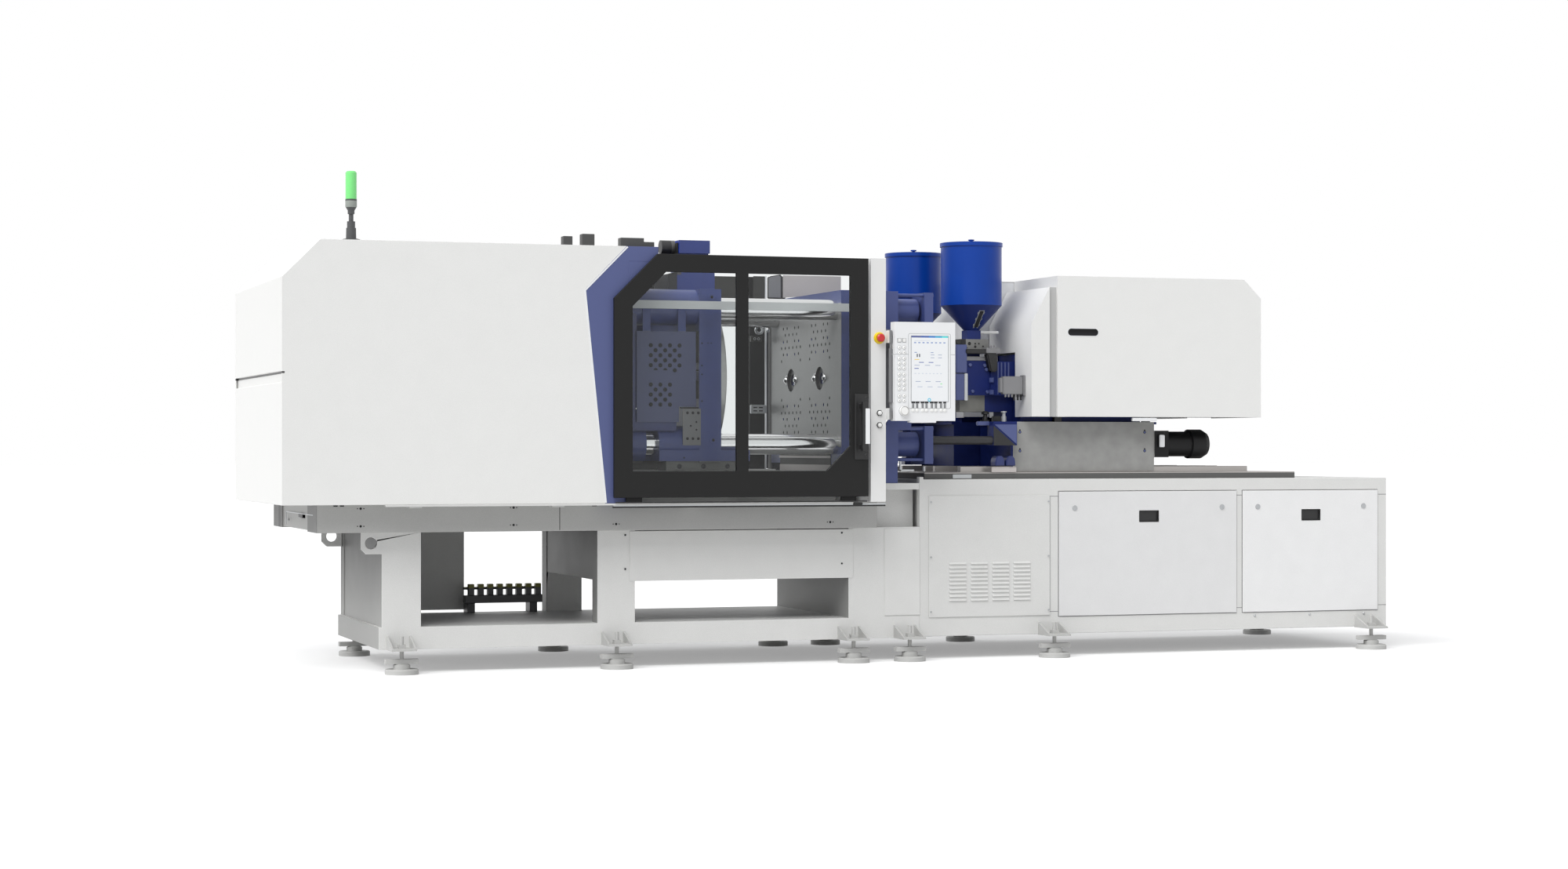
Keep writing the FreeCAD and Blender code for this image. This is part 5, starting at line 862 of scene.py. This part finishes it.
# injection side
NECK = (39, 1683)       # radius and height of the hopper cone's lower end
TURNED = 0.05           # angle of the sight window from the front
for tag, shift, turn, wide, top in (("front", 0, 1, 159, 1813), ("rear", -146, -1, 149, 1790)):
    unit = (tag, shift, turn)

    def cone_radius(z):
        return NECK[0] + (z - NECK[1]) / (top - NECK[1]) * (wide - NECK[0])

    def on_cone(z, angle, lift):
        r = cone_radius(z) + lift
        return (700 + r * math.sin(angle), AXES_Y[0] - r * math.cos(angle), z)

    p = UnitPiece(unit, "hopper_window", "black")
    clips = UnitPiece(unit, "hopper_clips", "zinc")
    low, high = 1700, top - 33
    for part, half, lift, a, b in ((clips, 15, 0.4, low - 4, high + 4), (p, 9.5, 2.2, low, high)):
        part.plate([on_cone(z, TURNED + s * half / cone_radius(z), lift)
                    for z, s in ((a, -1), (a, 1), (b, 1), (b, -1))], 2.0)
    for z in (low + 10, (low + high) / 2, high - 10):
        r = cone_radius(z)
        for s in (-1, 1):
            clips.plate([on_cone(z + rise, TURNED + s * reach / r, lift) for rise, reach, lift in
                         ((-5, 19, 1.0), (5, 19, 1.0), (5, 11, 2.6), (-5, 11, 2.6))], 2.0)
    p.finish()
    clips.finish()
    boxes(UnitPiece(unit, "gate_lever", "pearl", "gate"),
          ((706, 846), (-252, -200), (1668.4, 1681.6), 0.004))
    p = UnitPiece(unit, "throat_ports", "hole")
    for x, z, r in ((667, 1614, 9), (700, 1614, 5), (720, 1614, 5), (651, 1592, 5), (700, 1598, 7),
                    (744, 1600, 5)):
        p.disc((x, -281, z), FRONT, r, 0.6, 14)
    p.finish()
    boxes(UnitPiece(unit, "unit_boxes", "unit_blue"),
          ((577, 637), (-322, -284), (1460, 1607), 0.003),
          ((577, 624), (-318, -284), (1318, 1456), 0.003))
    boxes(UnitPiece(unit, "unit_box_edges", "light_metal"),
          ((625, 643), (-318, -286), (1317, 1458), 0.002))
    boxes(UnitPiece(unit, "throat_side", "sheet"), ((596, 621), (-281, -230), (1608, 1628), 0.003))
    p = UnitPiece(unit, "feed_guard", "black")
    p.box((630, 752), (-330, -250), (1561, 1584), 0.003)
    p.prism([(738, 1563), (800, 1563), (798, 1466), (761, 1466)], -345, -300, 0.006)
    p.finish()
    p = UnitPiece(unit, "feed_plate", "mid_grey")
    p.box((741, 821), (-334, -255), (1563, 1592), 0.002)
    for x in (772, 790):
        p.lathe((x, -318, 1592), UP, [(0, 0), (5, 0), (5, 11), (3, 12), (0, 12)], 14)
    p.box((636, 746), (-310, -190), (1524.6, 1546), 0.003)
    p.finish()
    p = UnitPiece(unit, "feed_bolts", "unit_blue")
    for x, z in ((674, 1365), (742, 1500), (751, 1478), (660, 1502), (757, 1362)):
        p.lathe((x, -306, z), FRONT, [(0, 0), (10, 0), (10, 5), (8, 7), (0, 7)], 6)
    for z in (1424, 1361):
        p.lathe((775, -321, z - 12), UP, [(0, 0), (13, 0), (13, 24), (0, 24)], 6)
    for x in (806, 826, 846, 866):
        p.box((x, x + 8), (-326, -321), (1349, 1517), 0.002)
    p.finish()
    p = UnitPiece(unit, "sensor_box", "mid_grey")
    p.box((772, 884), (-480, -440), (1347, 1440), 0.004)
    p.box((757, 774), (-474, -446), (1356, 1432), 0.003)
    p.box((884, 896), (-484, -436), (1340, 1446), 0.002)
    for x in (782, 800, 818):
        p.box((x, x + 9), (-480, -470), (1332, 1348), 0.002)
    p.finish()
    p = UnitPiece(unit, "box_stubs", "dark_steel")
    for x in (842, 862, 880):
        p.lathe((x, -460, 1347), DOWN, [(0, 0), (7, 0), (7, 12), (5, 14), (5, 30), (0, 30)], 16)
    p.finish()
    boxes(UnitPiece(unit, "deck_bar", "unit_blue"), ((645, 712), (-444, -420), (1186, 1208), 0.003))
    p = UnitPiece(unit, "deck_knobs", "black")
    p.lathe((735, -330, 1208), UP,
            [(0, 0), (26, 0), (26, 6), (14, 10), (10, 36), (20, 38), (20, 48), (12, 54), (0, 54)], 24)
    p.box((770, 812), (-360, -330), (1208, 1236), 0.003)
    p.finish()
    p = UnitPiece(unit, "deck_valve", "light_metal")
    p.lathe((832, -350, 1208), UP,
            [(0, 0), (14, 0), (14, 26), (9, 28), (9, 44), (15, 46), (15, 54), (0, 54)], 20)
    p.finish()
    p = UnitPiece(unit, "gusset", "unit_blue")
    p.prism([(716, 1192), (840, 1192), (840, 1090)], -500, -495.5, 0.001)
    p.finish()
    p = UnitPiece(unit, "gusset_edge", "black")
    p.prism([(712, 1186), (836, 1084), (712, 1084)], -497.5, -495.5, 0.0005)
    p.finish()
    p = UnitPiece(unit, "guide_blocks", "cast_blue")
    for x in (752, 812):
        p.prism([(x - 26, 979), (x + 26, 979), (x + 24, 1012), (x + 12, 1030), (x - 12, 1030),
                 (x - 24, 1012)], -488, -420, 0.003)
    p.finish()
    boxes(UnitPiece(unit, "rail_plate", "pale"),
          ((700, 838), (-500, -494), (946, 970), 0.001),
          ((700, 838), (-498, -494), (971.5, 975), 0.0005))
    p = UnitPiece(unit, "panel_keyholes", "hole")
    for x in (859, 1569):
        for z in (1060, 1157):
            p.disc((x, -496, z + 6), FRONT, 4.5, 0.5, 14)
            p.disc((x, -496, z - 4), FRONT, 8, 0.5, 16)
    p.finish()
    p = UnitPiece(unit, "keyhole_screws", "unit_blue")
    for x in (859, 1569):
        for z in (1060, 1157):
            p.screw((x, -496.4, z - 4), FRONT, 5.5, 1.6)
    p.finish()
    p = UnitPiece(unit, "shroud_inside", "white")
    p.prism([(901, 1236), (901, 1711), (998, 1894), (1044, 1894), (1044, 1953), (2116, 1953),
             (2212, 1857), (2212, 1236)], -7, -4, 0.0)
    p.finish()
    p = UnitPiece(unit, "shroud_rim", "white")
    p.prism(rounded(1097, 1275, 1647, 1691, 21.5, 8), -561, -559.8, 0.0004)
    p.finish()
    p = UnitPiece(unit, "shroud_recess", "shade")
    p.prism(rounded(1101, 1271, 1651, 1687, 17.5, 8), -561.8, -560, 0.0)
    p.finish()
    boxes(UnitPiece(unit, "shroud_plate", "white"), ((1470, 1610), (-558, -540), (1210, 1228), 0.002))
    boxes(UnitPiece(unit, "motor_plug", "white"), ((1672, 1700), (-470, -455), (1075, 1140), 0.003))


# ------------------------------------------------------------- stage and light
FLOOR_REACH = 150.0     # half the floor's width


def plain(name, colour, lift):
    """Pale surface that shows nearly white to the camera and keeps shadows."""
    mat = bpy.data.materials.new(name)
    face = Nodes(mat)
    diffuse = face.add("BsdfDiffuse", Color=colour).outputs[0]
    glow = face.add("Emission", Strength=face.math("MULTIPLY", face.in_sight(), lift)).outputs[0]
    face.add("OutputMaterial", face.add("AddShader", diffuse, glow).outputs[0])
    return mat


def sun(name, strength, spread, direction):
    data = bpy.data.lights.new(name, "SUN")
    data.energy = strength
    data.angle = math.radians(spread)
    lamp = bpy.data.objects.new(name, data)
    scene.collection.objects.link(lamp)
    lamp.rotation_euler = Vector(direction).to_track_quat("-Z", "Y").to_euler()


floor_mesh = bpy.data.meshes.new("stage_floor")
corners = ((-1, -1), (1, -1), (1, 1), (-1, 1))
floor_mesh.from_pydata([(x * FLOOR_REACH, y * FLOOR_REACH, 0) for x, y in corners], [], [(0, 1, 2, 3)])
floor = bpy.data.objects.new("stage_floor", floor_mesh)
scene.collection.objects.link(floor)
floor_mesh.materials.append(plain("stage_pale", (0.72, 0.72, 0.72, 1), 0.30))

# soft light on the machine, white behind it
world = bpy.data.worlds.new("studio")
scene.world = world
sky = Nodes(world)
soft = sky.add("Background", Color=(0.97, 0.98, 1.0, 1), Strength=0.46).outputs[0]
bright = sky.add("Background", Color=(1, 1, 1, 1), Strength=1.0).outputs[0]
sky.add("OutputWorld", sky.add("MixShader", sky.in_sight(), soft, bright).outputs[0])

sun("key_light", 1.8, 40, (0.40, 0.62, -0.90))
sun("side_light", 1.6, 40, (0.80, 0.15, -0.72))

camera_data = bpy.data.cameras.new("photo_camera")
camera_data.lens = 64.42
camera_data.sensor_width = 36.0
camera_data.shift_y = 0.008
camera_data.clip_end = 400
camera = bpy.data.objects.new("photo_camera", camera_data)
scene.collection.objects.link(camera)
camera.location = (-4.952, -13.793, 1.0756)
camera.rotation_euler = (math.radians(90), 0, math.radians(-18.8))
scene.camera = camera
scene.view_settings.view_transform = "Standard"

bpy.context.view_layer.update()
